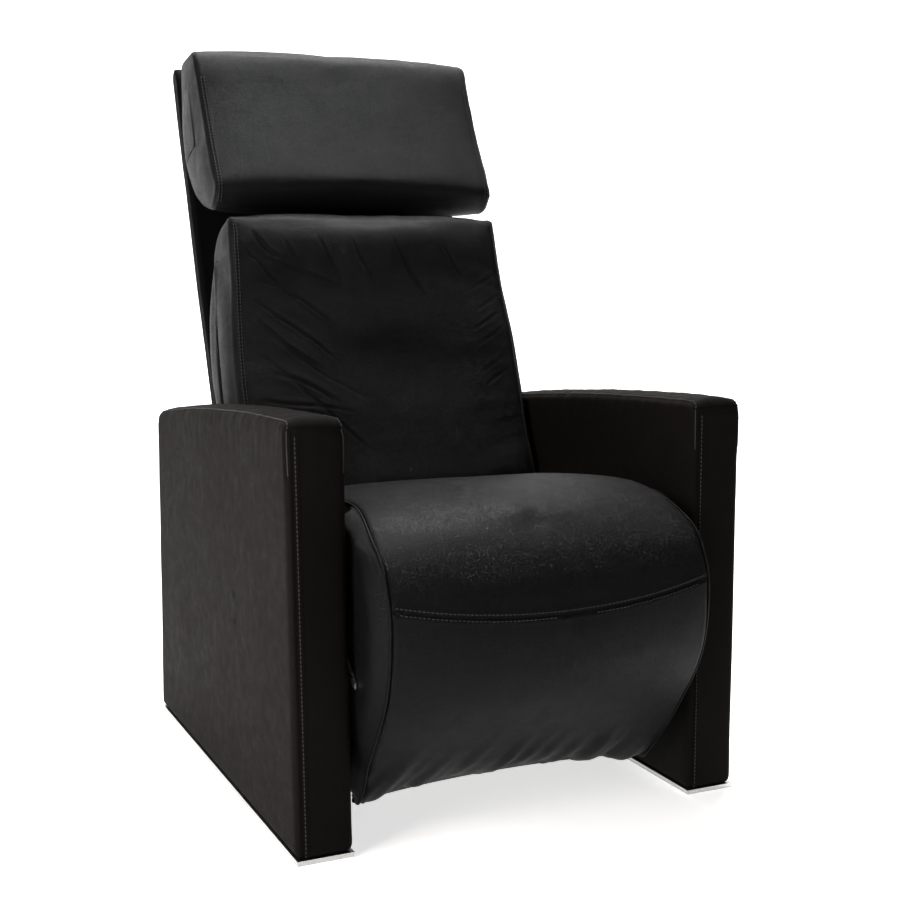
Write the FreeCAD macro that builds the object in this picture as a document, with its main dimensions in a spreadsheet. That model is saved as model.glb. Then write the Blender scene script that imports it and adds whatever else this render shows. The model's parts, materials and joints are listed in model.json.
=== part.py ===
import FreeCAD, Part
import math
import os
import re
import Sketcher

# Reclining armchair: two upholstered box arms stand on metal floor plates and carry a steel
# mechanism. The seat tilts on the arms, the back reclines on the seat, the leg rest swings out
# under the seat's front edge, and the head rest tilts on the back.
# Frame: X to the right, Y to the rear, Z up, origin on the floor under the middle of the chair.

Vector = FreeCAD.Vector
doc = FreeCAD.newDocument("recliner")
sheet = doc.addObject("Spreadsheet::Sheet", "Dims")

DIMENSIONS = {
    # whole chair and arms
    "chairWidth": 700,
    "armThick": 84,
    "armFront": -428,
    "armRear": 380,
    "armFrontHigh": 604,
    "armRearHigh": 550,
    "armRearLean": 64,
    "armArch": 4300,
    "armFoam": 24,
    "coverThick": 4,
    "plateHigh": 7,
    "plateInset": 1.5,
    "fitGap": 0.3,
    "runGap": 0.05,
    # pivots, as places seen from the side
    "seatPivotY": -149,
    "seatPivotZ": 300,
    "backPivotY": 101,
    "backPivotZ": 365,
    "footPivotY": -502,
    "footPivotZ": 352,
    "headPivotY": 311,
    "headPivotZ": 935,
    "linkTopY": 76,
    "linkTopZ": 320,
    "linkLowY": 120,
    "linkLowZ": 220,
    "gasFrontY": -285,
    "gasFrontZ": 276,
    "gasRearY": 101,
    "gasRearZ": 295,
    "backBarY": 92,
    "backBarZ": 343,
    "seatNotchY": -395,
    "leverPivotY": -350,
    "leverPivotZ": 300,
    # steelwork
    "steelThick": 6,
    "pinRadius": 5,
    "lugRadius": 11,
    "seatPlateX": 228,
    "backPlateX": 219,
    "linkX": 210.5,
    "crossTubeRadius": 15,
    "crossTubeWall": 2,
    "crossTubeZ": 190,
    # upholstery
    "cushionHalf": 257,
    "rimRadius": 16,
    "backHalf": 255,
    "headHalf": 252,
    "panelHalf": 250,
    "panelDeep": 38,
    "panelLowZ": 350,
    "panelTopZ": 1131,
    "panelLowY": 263.6,
    "panelTopY": 531.5,
}

for row, (alias, number) in enumerate(DIMENSIONS.items(), start=1):
    sheet.set("A%d" % row, alias)
    sheet.set("B%d" % row, str(number))
    sheet.setAlias("B%d" % row, alias)
doc.recompute()

nodes = []


def dim(text):
    """An expression on the sheet, from words and numbers: names become cells."""
    return re.sub(r"[A-Za-z]\w+", lambda word: "Dims." + word.group(), text)


def number(text):
    """The present value of such an expression."""
    return float(sheet.evalExpression(dim(text)))


def keep(item, label):
    """Name a finished sub-part, whose label is its node's name."""
    item.Label = label
    nodes.append(item)
    return item


def arc_centre(start, end, radius):
    """Centre of the arc that turns left from start to end."""
    middle = (start + end) * 0.5
    along = end - start
    left = Vector(-along.y, along.x, 0).normalize()
    return middle + left * math.sqrt(radius ** 2 - (along.Length / 2) ** 2)


def draw(body, role, outline, holes, offset):
    """A sketch on one of the body's own planes, every corner and hole bound to the sheet.

    The outline runs counter-clockwise. A corner is (across, up), or (across, up, radius) where
    the edge that starts there is an arc.
    """
    sketch = body.newObject("Sketcher::SketchObject", body.Name + "Sketch")
    plane = next(part for part in body.Origin.OriginFeatures if part.Role == role)
    sketch.AttachmentSupport = [(plane, "")]
    sketch.MapMode = "FlatFace"
    sketch.setExpression("AttachmentOffset.Base.z", dim(offset))
    places = [Vector(number(corner[0]), number(corner[1]), 0) for corner in outline]
    bound = []
    for index, corner in enumerate(outline):
        start = places[index]
        end = places[(index + 1) % len(places)]
        if len(corner) == 3:
            radius = number(corner[2])
            centre = arc_centre(start, end, radius)
            first = math.atan2(start.y - centre.y, start.x - centre.x)
            last = math.atan2(end.y - centre.y, end.x - centre.x)
            if last < first:
                last += 2 * math.pi
            circle = Part.Circle(centre, Vector(0, 0, 1), radius)
            sketch.addGeometry(Part.ArcOfCircle(circle, first, last), False)
            constraint = sketch.addConstraint(Sketcher.Constraint("Radius", index, radius))
            bound.append((constraint, "bend%d" % index, corner[2]))
        else:
            sketch.addGeometry(Part.LineSegment(start, end), False)
    for index, corner in enumerate(outline):
        before = (index - 1) % len(outline)
        sketch.addConstraint(Sketcher.Constraint("Coincident", before, 2, index, 1))
        across = sketch.addConstraint(Sketcher.Constraint("DistanceX", index, 1, places[index].x))
        up = sketch.addConstraint(Sketcher.Constraint("DistanceY", index, 1, places[index].y))
        bound.append((across, "across%d" % index, corner[0]))
        bound.append((up, "up%d" % index, corner[1]))
    for order, (across, up, radius) in enumerate(holes):
        place = Vector(number(across), number(up), 0)
        circle = sketch.addGeometry(Part.Circle(place, Vector(0, 0, 1), number(radius)), False)
        size = sketch.addConstraint(Sketcher.Constraint("Radius", circle, number(radius)))
        side = sketch.addConstraint(Sketcher.Constraint("DistanceX", circle, 3, place.x))
        rise = sketch.addConstraint(Sketcher.Constraint("DistanceY", circle, 3, place.y))
        bound.append((size, "holeSize%d" % order, radius))
        bound.append((side, "holeAcross%d" % order, across))
        bound.append((rise, "holeUp%d" % order, up))
    for constraint, name, text in bound:
        sketch.renameConstraint(constraint, name)
        sketch.setExpression("Constraints." + name, dim(text))
    return sketch


def slab(name, outline, low, thick, holes=(), round_corners=None, rim=None):
    """A side outline (across = Y, up = Z) padded along X from low, with rounded corners.

    round_corners is (radius, indexes of the corners); rim rounds both side faces' edges.
    """
    body = doc.addObject("PartDesign::Body", name)
    sketch = draw(body, "YZ_Plane", outline, holes, low)
    pad = body.newObject("PartDesign::Pad", name + "Pad")
    pad.Profile = sketch
    pad.setExpression("Length", dim(thick))
    doc.recompute()
    tip = pad
    for order, (radius, chosen) in enumerate(round_corners or ()):
        places = [(number(outline[i][0]), number(outline[i][1])) for i in chosen]
        edges = []
        for index, edge in enumerate(tip.Shape.Edges, start=1):
            ends = [vertex.Point for vertex in edge.Vertexes]
            if len(ends) < 2 or abs(ends[0].x - ends[1].x) < 0.5:
                continue
            if any(math.hypot(ends[0].y - y, ends[0].z - z) < 0.01 for y, z in places):
                edges.append("Edge%d" % index)
        fillet = body.newObject("PartDesign::Fillet", "%sRound%d" % (name, order))
        fillet.Base = (tip, edges)
        fillet.setExpression("Radius", dim(radius))
        doc.recompute()
        tip = fillet
    if rim:
        sides = [number(low), number(low) + number(thick)]
        edges = []
        for index, edge in enumerate(tip.Shape.Edges, start=1):
            box = edge.BoundBox
            flat = box.XLength < 0.01 and min(abs(box.XMin - side) for side in sides) < 0.01
            if flat:
                edges.append("Edge%d" % index)
        fillet = body.newObject("PartDesign::Fillet", name + "Rim")
        fillet.Base = (tip, edges)
        fillet.setExpression("Radius", dim(rim))
        doc.recompute()
    return body


def rod(label, across, low, thick, radius):
    """A round bar or pin along X, centred at across = (Y, Z) and starting at X = low."""
    bar = doc.addObject("Part::Cylinder", label)
    bar.Placement = FreeCAD.Placement(Vector(), FreeCAD.Rotation(Vector(0, 1, 0), 90))
    bar.setExpression("Placement.Base.x", dim(low))
    bar.setExpression("Placement.Base.y", dim(across[0]))
    bar.setExpression("Placement.Base.z", dim(across[1]))
    bar.setExpression("Height", dim(thick))
    bar.setExpression("Radius", dim(radius))
    return bar


def block(label, low, size):
    """A plain box from its lowest corner and its size, each as three expressions."""
    box = doc.addObject("Part::Box", label)
    for axis, text in zip("xyz", low):
        box.setExpression("Placement.Base." + axis, dim(text))
    for edge, text in zip(("Length", "Width", "Height"), size):
        box.setExpression(edge, dim(text))
    return box


def bar_between(label, start, end, radius):
    """A round bar from one place to another, along any direction, with its length from the sheet."""
    first = Vector(*[number(text) for text in start])
    last = Vector(*[number(text) for text in end])
    bar = doc.addObject("Part::Cylinder", label)
    turn = FreeCAD.Rotation(Vector(0, 0, 1), last - first)
    bar.Placement = FreeCAD.Placement(first, turn)
    bar.Height = (last - first).Length
    bar.setExpression("Radius", dim(radius))
    return bar


def less(label, whole, tools):
    """A sub-part with the tools' space taken out of it."""
    cut = doc.addObject("Part::Cut", label)
    cut.Base = whole
    if len(tools) == 1:
        cut.Tool = tools[0]
    else:
        union = doc.addObject("Part::Compound", label + "Tools")
        union.Links = tools
        cut.Tool = union
    return cut


def group(label, pieces):
    """Several separate solids in one node."""
    several = doc.addObject("Part::Compound", label)
    several.Links = pieces
    return keep(several, label)


def joined(label, pieces):
    """One welded piece out of several."""
    weld = doc.addObject("Part::MultiFuse", label)
    weld.Shapes = pieces
    weld.Refine = True
    return weld


def span(side, near, thick):
    """Where a layer starts along X: near is its distance from the middle on either side."""
    if side == "right":
        return near
    return "-(%s + %s)" % (near, thick)


SIDES = ("left", "right")
INNER = "(chairWidth / 2 - armThick)"
PIN = "pinRadius - 0.02"
RUNNING = "pinRadius - 0.02 + runGap"


# ---------------------------------------------------------------- arms

BOLT_PLACES = (("-170", "185"), ("70", "185"), ("-168", "232"), ("60", "212"))
PLATE_SCREW_PLACES = ("-370", "-130", "110", "320")


def arm_outline(inset, base):
    """Side outline of the arm, drawn in by inset: upright front, arched top, leaning rear."""
    rear_low = "armRear - {0} - armRearLean * ({1}) / (armRearHigh - {0})".format(inset, base)
    rear_top = "armRear - armRearLean - %s" % inset
    return [
        ("armFront + %s" % inset, base),
        (rear_low, base),
        (rear_top, "armRearHigh - %s" % inset, "armArch"),
        ("armFront + %s" % inset, "armFrontHigh - %s" % inset),
    ]


def arm_layer(name, side, inset, thin, base, corner):
    """One solid layer of the arm: thin is how much is left off each side face."""
    thick = "armThick - 2 * (%s)" % thin
    low = span(side, "%s + %s" % (INNER, thin), thick)
    rounds = [(corner, [2, 3])]
    return slab(name, arm_outline(inset, base), low, thick, round_corners=rounds)


def bolt_bars(side, name, radius, near, length):
    low = span(side, near, length)
    return [
        rod("%s%d" % (name, order), place, low, length, radius)
        for order, place in enumerate(BOLT_PLACES)
    ]


def screw_bars(side, name, radius, low, tall):
    middle = "chairWidth / 2 - armThick / 2" if side == "right" else "-(chairWidth / 2 - armThick / 2)"
    bars = []
    for order, along in enumerate(PLATE_SCREW_PLACES):
        bar = doc.addObject("Part::Cylinder", "%s%d" % (name, order))
        for axis, text in zip("xyz", (middle, along, low)):
            bar.setExpression("Placement.Base." + axis, dim(text))
        bar.setExpression("Height", dim(tall))
        bar.setExpression("Radius", dim(radius))
        bars.append(bar)
    return bars


def make_arm(side):
    """Plywood core, foam round it, leather over both, and the metal floor plate below."""
    bolt_holes = bolt_bars(side, side + "BoltHole", "4.3", INNER + " - 0.5", "armFoam + 33")
    screw_holes = screw_bars(side, side + "ScrewHole", "2.3", "0", "32.5")
    core = arm_layer(side + "Core", side, "armFoam", "armFoam", "plateHigh + fitGap", "20")
    keep(less(side + "CoreCut", core, bolt_holes + screw_holes), side + "_arm_core")
    foam = arm_layer(side + "Foam", side, "coverThick", "coverThick", "plateHigh + fitGap", "12")
    core_space = arm_layer(side + "CoreSpace", side, "armFoam", "armFoam", "plateHigh", "20")
    keep(less(side + "FoamCut", foam, [core_space] + bolt_holes), side + "_arm_foam")
    outer = slab(
        side + "Outer",
        arm_outline("0", "plateHigh"),
        span(side, INNER, "armThick"),
        "armThick",
        round_corners=[("14", [2, 3])],
    )
    inner = arm_layer(side + "Inner", side, "coverThick", "coverThick", "0", "12")
    keep(less(side + "CoverCut", outer, [inner] + bolt_holes), side + "_arm_cover")
    plate = block(
        side + "Plate",
        (
            span(side, INNER + " + plateInset", "(armThick - 2 * plateInset)"),
            "armFront + plateInset",
            "0",
        ),
        ("armThick - 2 * plateInset", "armRear - armFront - 2 * plateInset", "plateHigh"),
    )
    keep(less(side + "PlateCut", plate, screw_holes), side + "_floor_plate")


def make_floor_plate_screws():
    screws = []
    for side in SIDES:
        screws += screw_bars(side, side + "PlateScrew", "2.2", "0.5", "31")
    group("floor_plate_screws", screws)


# ---------------------------------------------------------------- steel frame between the arms

BRACKET_OUTLINE = [
    ("-190", "160"),
    ("148", "160"),
    ("148", "222"),
    ("-105", "258"),
    ("seatPivotY + 20", "seatPivotZ + 18"),
    ("seatPivotY - 22", "seatPivotZ + 18"),
    ("-190", "252"),
]


def make_brackets():
    """Side brackets against the arms, and the bolts that hold them to the plywood cores."""
    near = INNER + " - fitGap - steelThick"
    bolts = []
    for side in SIDES:
        bracket = slab(
            side + "Bracket",
            BRACKET_OUTLINE,
            span(side, near, "steelThick"),
            "steelThick",
            holes=[(along, up, "4.3") for along, up in BOLT_PLACES]
            + [("seatPivotY", "seatPivotZ", "pinRadius")],
            round_corners=[("14", [4, 5]), ("8", [0, 1, 2, 6])],
        )
        keep(bracket, side + "_side_bracket")
        head_low = span(side, near + " - 5", "5")
        shank_low = span(side, near, "(steelThick + armFoam + 30)")
        for order, place in enumerate(BOLT_PLACES):
            head = rod("%sBoltHead%d" % (side, order), place, head_low, "5", "6.5")
            shank = rod(
                "%sBoltShank%d" % (side, order), place, shank_low, "steelThick + armFoam + 30", "4"
            )
            bolts.append(joined("%sBolt%d" % (side, order), [head, shank]))
    group("bracket_bolts", bolts)


def make_cross_tube(label, along, lugs):
    """A steel tube between the side brackets, with any lugs welded on it."""
    half = "(%s - fitGap - steelThick)" % INNER
    outside = rod(label + "Out", (along, "crossTubeZ"), "-" + half, "2 * " + half, "crossTubeRadius")
    bore_radius = "crossTubeRadius - crossTubeWall"
    bore = rod(label + "Bore", (along, "crossTubeZ"), "-%s - 1" % half, "2 * %s + 2" % half, bore_radius)
    whole = joined(label + "Weld", [outside] + lugs) if lugs else outside
    keep(less(label, whole, [bore]), label)


def make_base_frame():
    """The two cross tubes, the rear one with a lug for each tilt link, and the fixed pins."""
    make_cross_tube("front_cross_tube", "seatPivotY", [])
    lugs = []
    for side in SIDES:
        outline = [
            ("linkLowY - lugRadius", "crossTubeZ"),
            ("linkLowY + lugRadius", "crossTubeZ"),
            ("linkLowY + lugRadius", "linkLowZ + lugRadius"),
            ("linkLowY - lugRadius", "linkLowZ + lugRadius"),
        ]
        low = span(side, "linkX - 2.5 - steelThick", "steelThick")
        hole = [("linkLowY", "linkLowZ", "pinRadius")]
        lugs.append(slab(side + "LinkLug", outline, low, "steelThick", hole, [("10", [2, 3])]))
    make_cross_tube("rear_cross_tube", "linkLowY", lugs)
    seat_pins = []
    link_pins = []
    for side in SIDES:
        length = "(%s - fitGap - seatPlateX + 3)" % INNER
        low = span(side, "(seatPlateX - 3)", length)
        seat_pins.append(rod(side + "SeatPin", ("seatPivotY", "seatPivotZ"), low, length, PIN))
        length = "(2 * steelThick + 3.5)"
        low = span(side, "linkX - 2.5 - steelThick - 0.5", length)
        link_pins.append(rod(side + "LinkLowPin", ("linkLowY", "linkLowZ"), low, length, PIN))
    group("seat_pivot_pins", seat_pins)
    group("link_lower_pins", link_pins)


def make_rear_rail():
    """Plywood board in leather between the arms, low at the rear."""
    outline = [("300", "40"), ("334", "40"), ("334", "230"), ("300", "230")]
    half = "(%s - fitGap)" % INNER
    outer = slab("railOuter", outline, "-" + half, "2 * " + half, round_corners=[("7", [0, 1, 2, 3])])
    inset = [("304", "44"), ("330", "44"), ("330", "226"), ("304", "226")]
    space = slab("railSpace", inset, "-%s + coverThick" % half, "2 * (%s - coverThick)" % half)
    core = slab("railCore", inset, "-%s + coverThick" % half, "2 * (%s - coverThick)" % half)
    keep(core, "rear_rail_core")
    keep(less("railCover", outer, [space]), "rear_rail_cover")


# ---------------------------------------------------------------- seat

SEAT_PLATE_OUTLINE = [
    ("backPivotY + 16", "284"),
    ("backPivotY + 16", "backPivotZ + 16"),
    ("backPivotY - 16", "backPivotZ + 16"),
    ("backPivotY - 16", "335"),
    ("60", "324"),
    ("-345", "324"),
    ("-395", "footPivotZ + lugRadius"),
    ("footPivotY - lugRadius", "footPivotZ + lugRadius"),
    ("footPivotY - lugRadius", "footPivotZ - lugRadius"),
    ("-405", "footPivotZ - lugRadius"),
    ("-365", "284"),
]

SEAT_OUTLINE = [
    ("seatNotchY", "330"),
    ("-25", "330"),
    ("30", "365"),
    ("52", "428"),
    ("-300", "482", "316"),
    ("-526", "387"),
    ("-502", "356"),
    ("seatNotchY", "356"),
]

SPRING_PLACES = (-160, -80, 0, 80, 160)


def make_seat_frame():
    """Side plates with every seat pivot in them, and the two rails between them."""
    for side in SIDES:
        holes = [
            ("seatPivotY", "seatPivotZ", RUNNING),
            ("backPivotY", "backPivotZ", "pinRadius"),
            ("footPivotY", "footPivotZ", "pinRadius"),
        ]
        if side == "left":
            holes.append(("leverPivotY", "leverPivotZ", "4"))
        plate = slab(
            side + "SeatPlate",
            SEAT_PLATE_OUTLINE,
            span(side, "seatPlateX", "steelThick"),
            "steelThick",
            holes,
            [("14", [1, 2]), ("10", [7, 8]), ("8", [0, 10])],
        )
        keep(plate, side + "_seat_plate")
    outer = block("frontRailOuter", ("-seatPlateX", "-335", "294"), ("2 * seatPlateX", "30", "30"))
    inner = block(
        "frontRailInner", ("-seatPlateX - 1", "-333", "296"), ("2 * seatPlateX + 2", "26", "26")
    )
    keep(less("frontRail", outer, [inner]), "front_seat_rail")
    rear = block("rearRail", ("-seatPlateX", "-30", "312"), ("2 * seatPlateX", "30", "12"))
    keep(rear, "rear_seat_rail")
    foot_pins = []
    back_pins = []
    for side in SIDES:
        length = "(seatPlateX + steelThick - backPlateX + 2)"
        low = span(side, "backPlateX - 1", length)
        foot_pins.append(rod(side + "FootPin", ("footPivotY", "footPivotZ"), low, length, PIN))
        back_pins.append(rod(side + "BackPin", ("backPivotY", "backPivotZ"), low, length, PIN))
    group("legrest_pivot_pins", foot_pins)
    group("back_pivot_pins", back_pins)


def zigzag_wire(middle, first, last, height):
    """The winding line of one flat spring: straight runs across, joined by half circles."""
    reach = 16
    bends = 11
    radius = (last - first) / (2 * bends)
    edges = []
    for turn in range(bends + 1):
        along = first + 2 * radius * turn
        way = 1 if turn % 2 == 0 else -1
        start = Vector(middle - way * reach, along, height)
        end = Vector(middle + way * reach, along, height)
        edges.append(Part.LineSegment(start, end).toShape())
        if turn < bends:
            crest = Vector(middle + way * (reach + radius), along + radius, height)
            after = Vector(middle + way * reach, along + 2 * radius, height)
            edges.append(Part.Arc(end, crest, after).toShape())
    return Part.Wire(edges)


def make_seat_springs():
    """Five zigzag springs from the front rail to the rear rail, under the seat cushion."""
    wire_radius = 1.7
    height = 324.2 + wire_radius
    springs = []
    for middle in SPRING_PLACES:
        path = zigzag_wire(middle, -322.0, -14.0, height)
        start = path.Edges[0].Vertexes[0].Point
        ring = Part.Wire(Part.makeCircle(wire_radius, start, Vector(1, 0, 0)))
        springs.append(path.makePipeShell([ring], True, False))
    feature = doc.addObject("Part::Feature", "seatSprings")
    feature.Shape = Part.makeCompound(springs)
    keep(feature, "seat_springs")


def hinge_slots(name, low, high, bottom, top):
    """Room on both sides for the hinge plates, between two places along Y and two heights."""
    slots = []
    for side in SIDES:
        thick = "(seatPlateX + steelThick + 3 - (backPlateX - 2))"
        near = span(side, "backPlateX - 2", thick)
        size = (thick, "%s - (%s)" % (high, low), "%s - (%s)" % (top, bottom))
        slots.append(block(name + side, (near, low, bottom), size))
    return slots


def make_seat_cushion():
    whole = slab(
        "seatPad",
        SEAT_OUTLINE,
        "-cushionHalf",
        "2 * cushionHalf",
        round_corners=[("18", [3])],
        rim="rimRadius",
    )
    slots = hinge_slots("seatSlot", "-530", "-348", "325", "footPivotZ + 16")
    keep(less("seatCushion", whole, slots), "seat_cushion")


# ---------------------------------------------------------------- gas spring and its release


def gas_place(share):
    """A place on the gas spring's axis, from its front pivot at 0 to its rear pivot at 1."""
    return (
        "0",
        "gasFrontY + (gasRearY - gasFrontY) * %s" % share,
        "gasFrontZ + (gasRearZ - gasFrontZ) * %s" % share,
    )


def make_gas_spring():
    """Rod and piston on the seat's bracket, and the barrel round them up to the back's cross bar."""
    front = ("gasFrontY", "gasFrontZ")
    rear = ("gasRearY", "gasRearZ")
    lug_outline = [
        ("-305", "gasFrontZ - 10"),
        ("gasFrontY + 10", "gasFrontZ - 10"),
        ("gasFrontY + 10", "gasFrontZ + 10"),
        ("-305", "318"),
    ]
    lugs = [
        slab("gasLug" + side, lug_outline, span(side, "9", "4"), "4", [(*front, "4")], [("8", [1, 2])])
        for side in SIDES
    ]
    foot = block("gasLugFoot", ("-13", "-305", "gasFrontZ - 10"), ("26", "4", "318 - gasFrontZ + 10"))
    keep(joined("gasBracket", lugs + [foot]), "gas_spring_bracket")
    keep(rod("gasFrontPin", front, "-15", "30", "3.98"), "gas_spring_front_pin")
    eye = rod("gasEye", front, "-7.5", "15", "10")
    stem = bar_between("gasStem", gas_place("0"), gas_place("0.62"), "5")
    eye_hole = rod("gasEyeHole", front, "-8", "16", "4.03")
    keep(less("gasRod", joined("gasRodWhole", [eye, stem]), [eye_hole]), "gas_spring_rod")
    piston = bar_between("gasPiston", gas_place("0.62"), gas_place("0.645"), "9.4")
    keep(piston, "gas_spring_piston")
    barrel = bar_between("gasBarrelOuter", gas_place("0.45"), gas_place("0.98"), "11")
    rear_eye = rod("gasRearEye", rear, "-8", "16", "15")
    rear_hole = rod("gasRearHole", rear, "-9", "18", "10.3")
    bore = bar_between("gasBore", gas_place("0.47"), gas_place("0.92"), "9.5")
    mouth = bar_between("gasMouth", gas_place("0.44"), gas_place("0.48"), "5.06")
    whole = joined("gasBarrelWhole", [barrel, rear_eye])
    keep(less("gasBarrel", whole, [rear_hole, bore, mouth]), "gas_spring_barrel")


def make_release():
    """Flat lever beside the left arm, its pin in the seat plate, and the cable to the gas spring."""
    lever_low = "-(%s - 1.5)" % INNER
    outline = [
        ("leverPivotY + 8", "leverPivotZ - 6"),
        ("-300", "leverPivotZ - 16"),
        ("-298", "leverPivotZ - 6"),
        ("leverPivotY + 8", "leverPivotZ + 9"),
        ("leverPivotY - 8", "leverPivotZ + 9"),
        ("-431", "246"),
        ("-431", "233"),
        ("leverPivotY - 8", "leverPivotZ - 9"),
    ]
    hole = [("leverPivotY", "leverPivotZ", "4.03")]
    keep(slab("lever", outline, lever_low, "3", hole, [("3", [5, 6])]), "release_lever")
    length = "%s - 1 - seatPlateX" % INNER
    pin = rod("leverPin", ("leverPivotY", "leverPivotZ"), "-(%s - 1)" % INNER, length, "3.98")
    keep(pin, "release_lever_pin")
    bend = 22
    start = Vector(-247, -292, 270)
    first = Vector(-247, -326, 270)
    second = Vector(-26, -326, 270)
    end = Vector(-26, -292, 270)
    root = math.sqrt(0.5)
    left_middle = first + Vector(bend * (1 - root), bend * (1 - root), 0)
    right_middle = second + Vector(-bend * (1 - root), bend * (1 - root), 0)
    before = first + Vector(0, bend, 0)
    after = first + Vector(bend, 0, 0)
    entry = second + Vector(-bend, 0, 0)
    leave = second + Vector(0, bend, 0)
    path = Part.Wire(
        [
            Part.LineSegment(start, before).toShape(),
            Part.Arc(before, left_middle, after).toShape(),
            Part.LineSegment(after, entry).toShape(),
            Part.Arc(entry, right_middle, leave).toShape(),
            Part.LineSegment(leave, end).toShape(),
        ]
    )
    ring = Part.Wire(Part.makeCircle(2.5, start, Vector(0, 1, 0)))
    cable = doc.addObject("Part::Feature", "cable")
    cable.Shape = path.makePipeShell([ring], True, False)
    keep(cable, "release_cable")


# ---------------------------------------------------------------- leg rest

LEGREST_OUTLINE = [
    ("-502", "346"),
    ("-526", "316", "365"),
    ("-362", "48"),
    ("-322", "62"),
    ("-405", "322"),
    ("-420", "338"),
    ("-488", "338"),
]

BOARD_OUTLINE = [("-404.5", "322"), ("-321.5", "72"), ("-307.3", "76.7"), ("-390.3", "326.7")]

LEGREST_PLATE_OUTLINE = [
    ("-362", "196"),
    ("-338", "204"),
    ("-372", "338"),
    ("-388", "352"),
    ("-492", "footPivotZ + lugRadius"),
    ("footPivotY - lugRadius", "footPivotZ + lugRadius"),
    ("footPivotY - lugRadius", "footPivotZ - lugRadius"),
    ("-412", "footPivotZ - lugRadius"),
    ("-403", "322"),
]


def make_legrest():
    """Plywood board and cushion, hung from the seat's front by a plate at each side."""
    half = "(backPlateX - fitGap)"
    board = slab("footBoard", BOARD_OUTLINE, "-" + half, "2 * " + half)
    keep(board, "legrest_board")
    for side in SIDES:
        plate = slab(
            side + "FootPlate",
            LEGREST_PLATE_OUTLINE,
            span(side, "backPlateX", "steelThick"),
            "steelThick",
            [("footPivotY", "footPivotZ", RUNNING)],
            [("10", [5, 6]), ("8", [0, 1])],
        )
        keep(plate, side + "_legrest_plate")
    whole = slab(
        "footPad",
        LEGREST_OUTLINE,
        "-cushionHalf",
        "2 * cushionHalf",
        round_corners=[("14", [1]), ("14", [2, 3])],
        rim="rimRadius",
    )
    slots = hinge_slots("footSlot", "-530", "-480", "325", "350")
    keep(less("footCushion", whole, slots), "legrest_cushion")


# ---------------------------------------------------------------- back

BACK_PLATE_OUTLINE = [
    ("linkTopY - lugRadius", "linkTopZ - lugRadius"),
    ("84", "284"),
    ("118", "282"),
    ("150", "325"),
    ("250", "350"),
    ("276", "402"),
    ("240", "402"),
    ("120", "backPivotZ + 13"),
    ("88", "backPivotZ + 12"),
    ("linkTopY - lugRadius", "linkTopZ + lugRadius"),
]

BACK_OUTLINE = [
    ("66", "408"),
    ("243", "408"),
    ("364", "760"),
    ("295", "858"),
    ("222", "878", "2850"),
    ("58", "424"),
]

HANGER_OUTLINE = [
    ("gasRearY - lugRadius", "gasRearZ - lugRadius"),
    ("gasRearY + lugRadius", "gasRearZ - lugRadius"),
    ("gasRearY + lugRadius", "gasRearZ"),
    ("backBarY + 9", "backBarZ + 4"),
    ("backBarY - 9", "backBarZ + 4"),
    ("gasRearY - lugRadius", "gasRearZ"),
]

FRAME_RADIUS = "9"
FRAME_X = "222"


def lean_place(share, ahead):
    """A place on the back panel: share of the way up it, and ahead of its middle plane."""
    across = "panelLowY - panelDeep / 2 + (panelTopY - panelLowY) * %s - (%s) * 0.946" % (share, ahead)
    up = "panelLowZ + (panelTopZ - panelLowZ) * %s + (%s) * 0.324" % (share, ahead)
    return (across, up)


def make_back_frame():
    """Tube frame inside the back panel, the plates it pivots on and the bar between them."""
    tubes = []
    for name, x in (("Left", "-" + FRAME_X), ("Right", FRAME_X)):
        low = lean_place("0.075", "0")
        high = lean_place("0.966", "0")
        tubes.append(bar_between("frame" + name, (x, *low), (x, *high), FRAME_RADIUS))
    for order, share in enumerate(("0.36", "0.738", "0.966")):
        place = lean_place(share, "0")
        length = "2 * " + FRAME_X
        tubes.append(rod("frameAcross%d" % order, place, "-" + FRAME_X, length, FRAME_RADIUS))
    keep(joined("backFrame", tubes), "back_frame")
    for side in SIDES:
        plate = slab(
            side + "BackPlate",
            BACK_PLATE_OUTLINE,
            span(side, "backPlateX", "steelThick"),
            "steelThick",
            [("backPivotY", "backPivotZ", RUNNING), ("linkTopY", "linkTopZ", "pinRadius")],
            [("10", [0, 9]), ("12", [2]), ("9", [7, 8])],
        )
        keep(plate, side + "_back_plate")
    bar = rod("backBar", ("backBarY", "backBarZ"), "-backPlateX", "2 * backPlateX", "7")
    hangers = [
        slab("gasHanger" + side, HANGER_OUTLINE, span(side, "13", "4"), "4", (), [("8", [0, 1])])
        for side in SIDES
    ]
    stub = rod("gasRearStub", ("gasRearY", "gasRearZ"), "-17", "34", "7")
    keep(joined("backCrossBar", [bar, stub] + hangers), "back_cross_bar")
    pins = []
    for side in SIDES:
        length = "(backPlateX + steelThick - linkX + 1)"
        low = span(side, "linkX - 0.5", length)
        pins.append(rod(side + "LinkTopPin", ("linkTopY", "linkTopZ"), low, length, PIN))
    group("link_upper_pins", pins)
    straps = []
    for order, share in enumerate((0.12, 0.2, 0.28, 0.46, 0.56, 0.66)):
        corners = [(share, "11.4"), (share, "9.4"), (share + 0.05, "9.4"), (share + 0.05, "11.4")]
        outline = [lean_place("%.3f" % along, ahead) for along, ahead in corners]
        straps.append(slab("strap%d" % order, outline, "-231", "462"))
    group("back_straps", straps)


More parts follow.
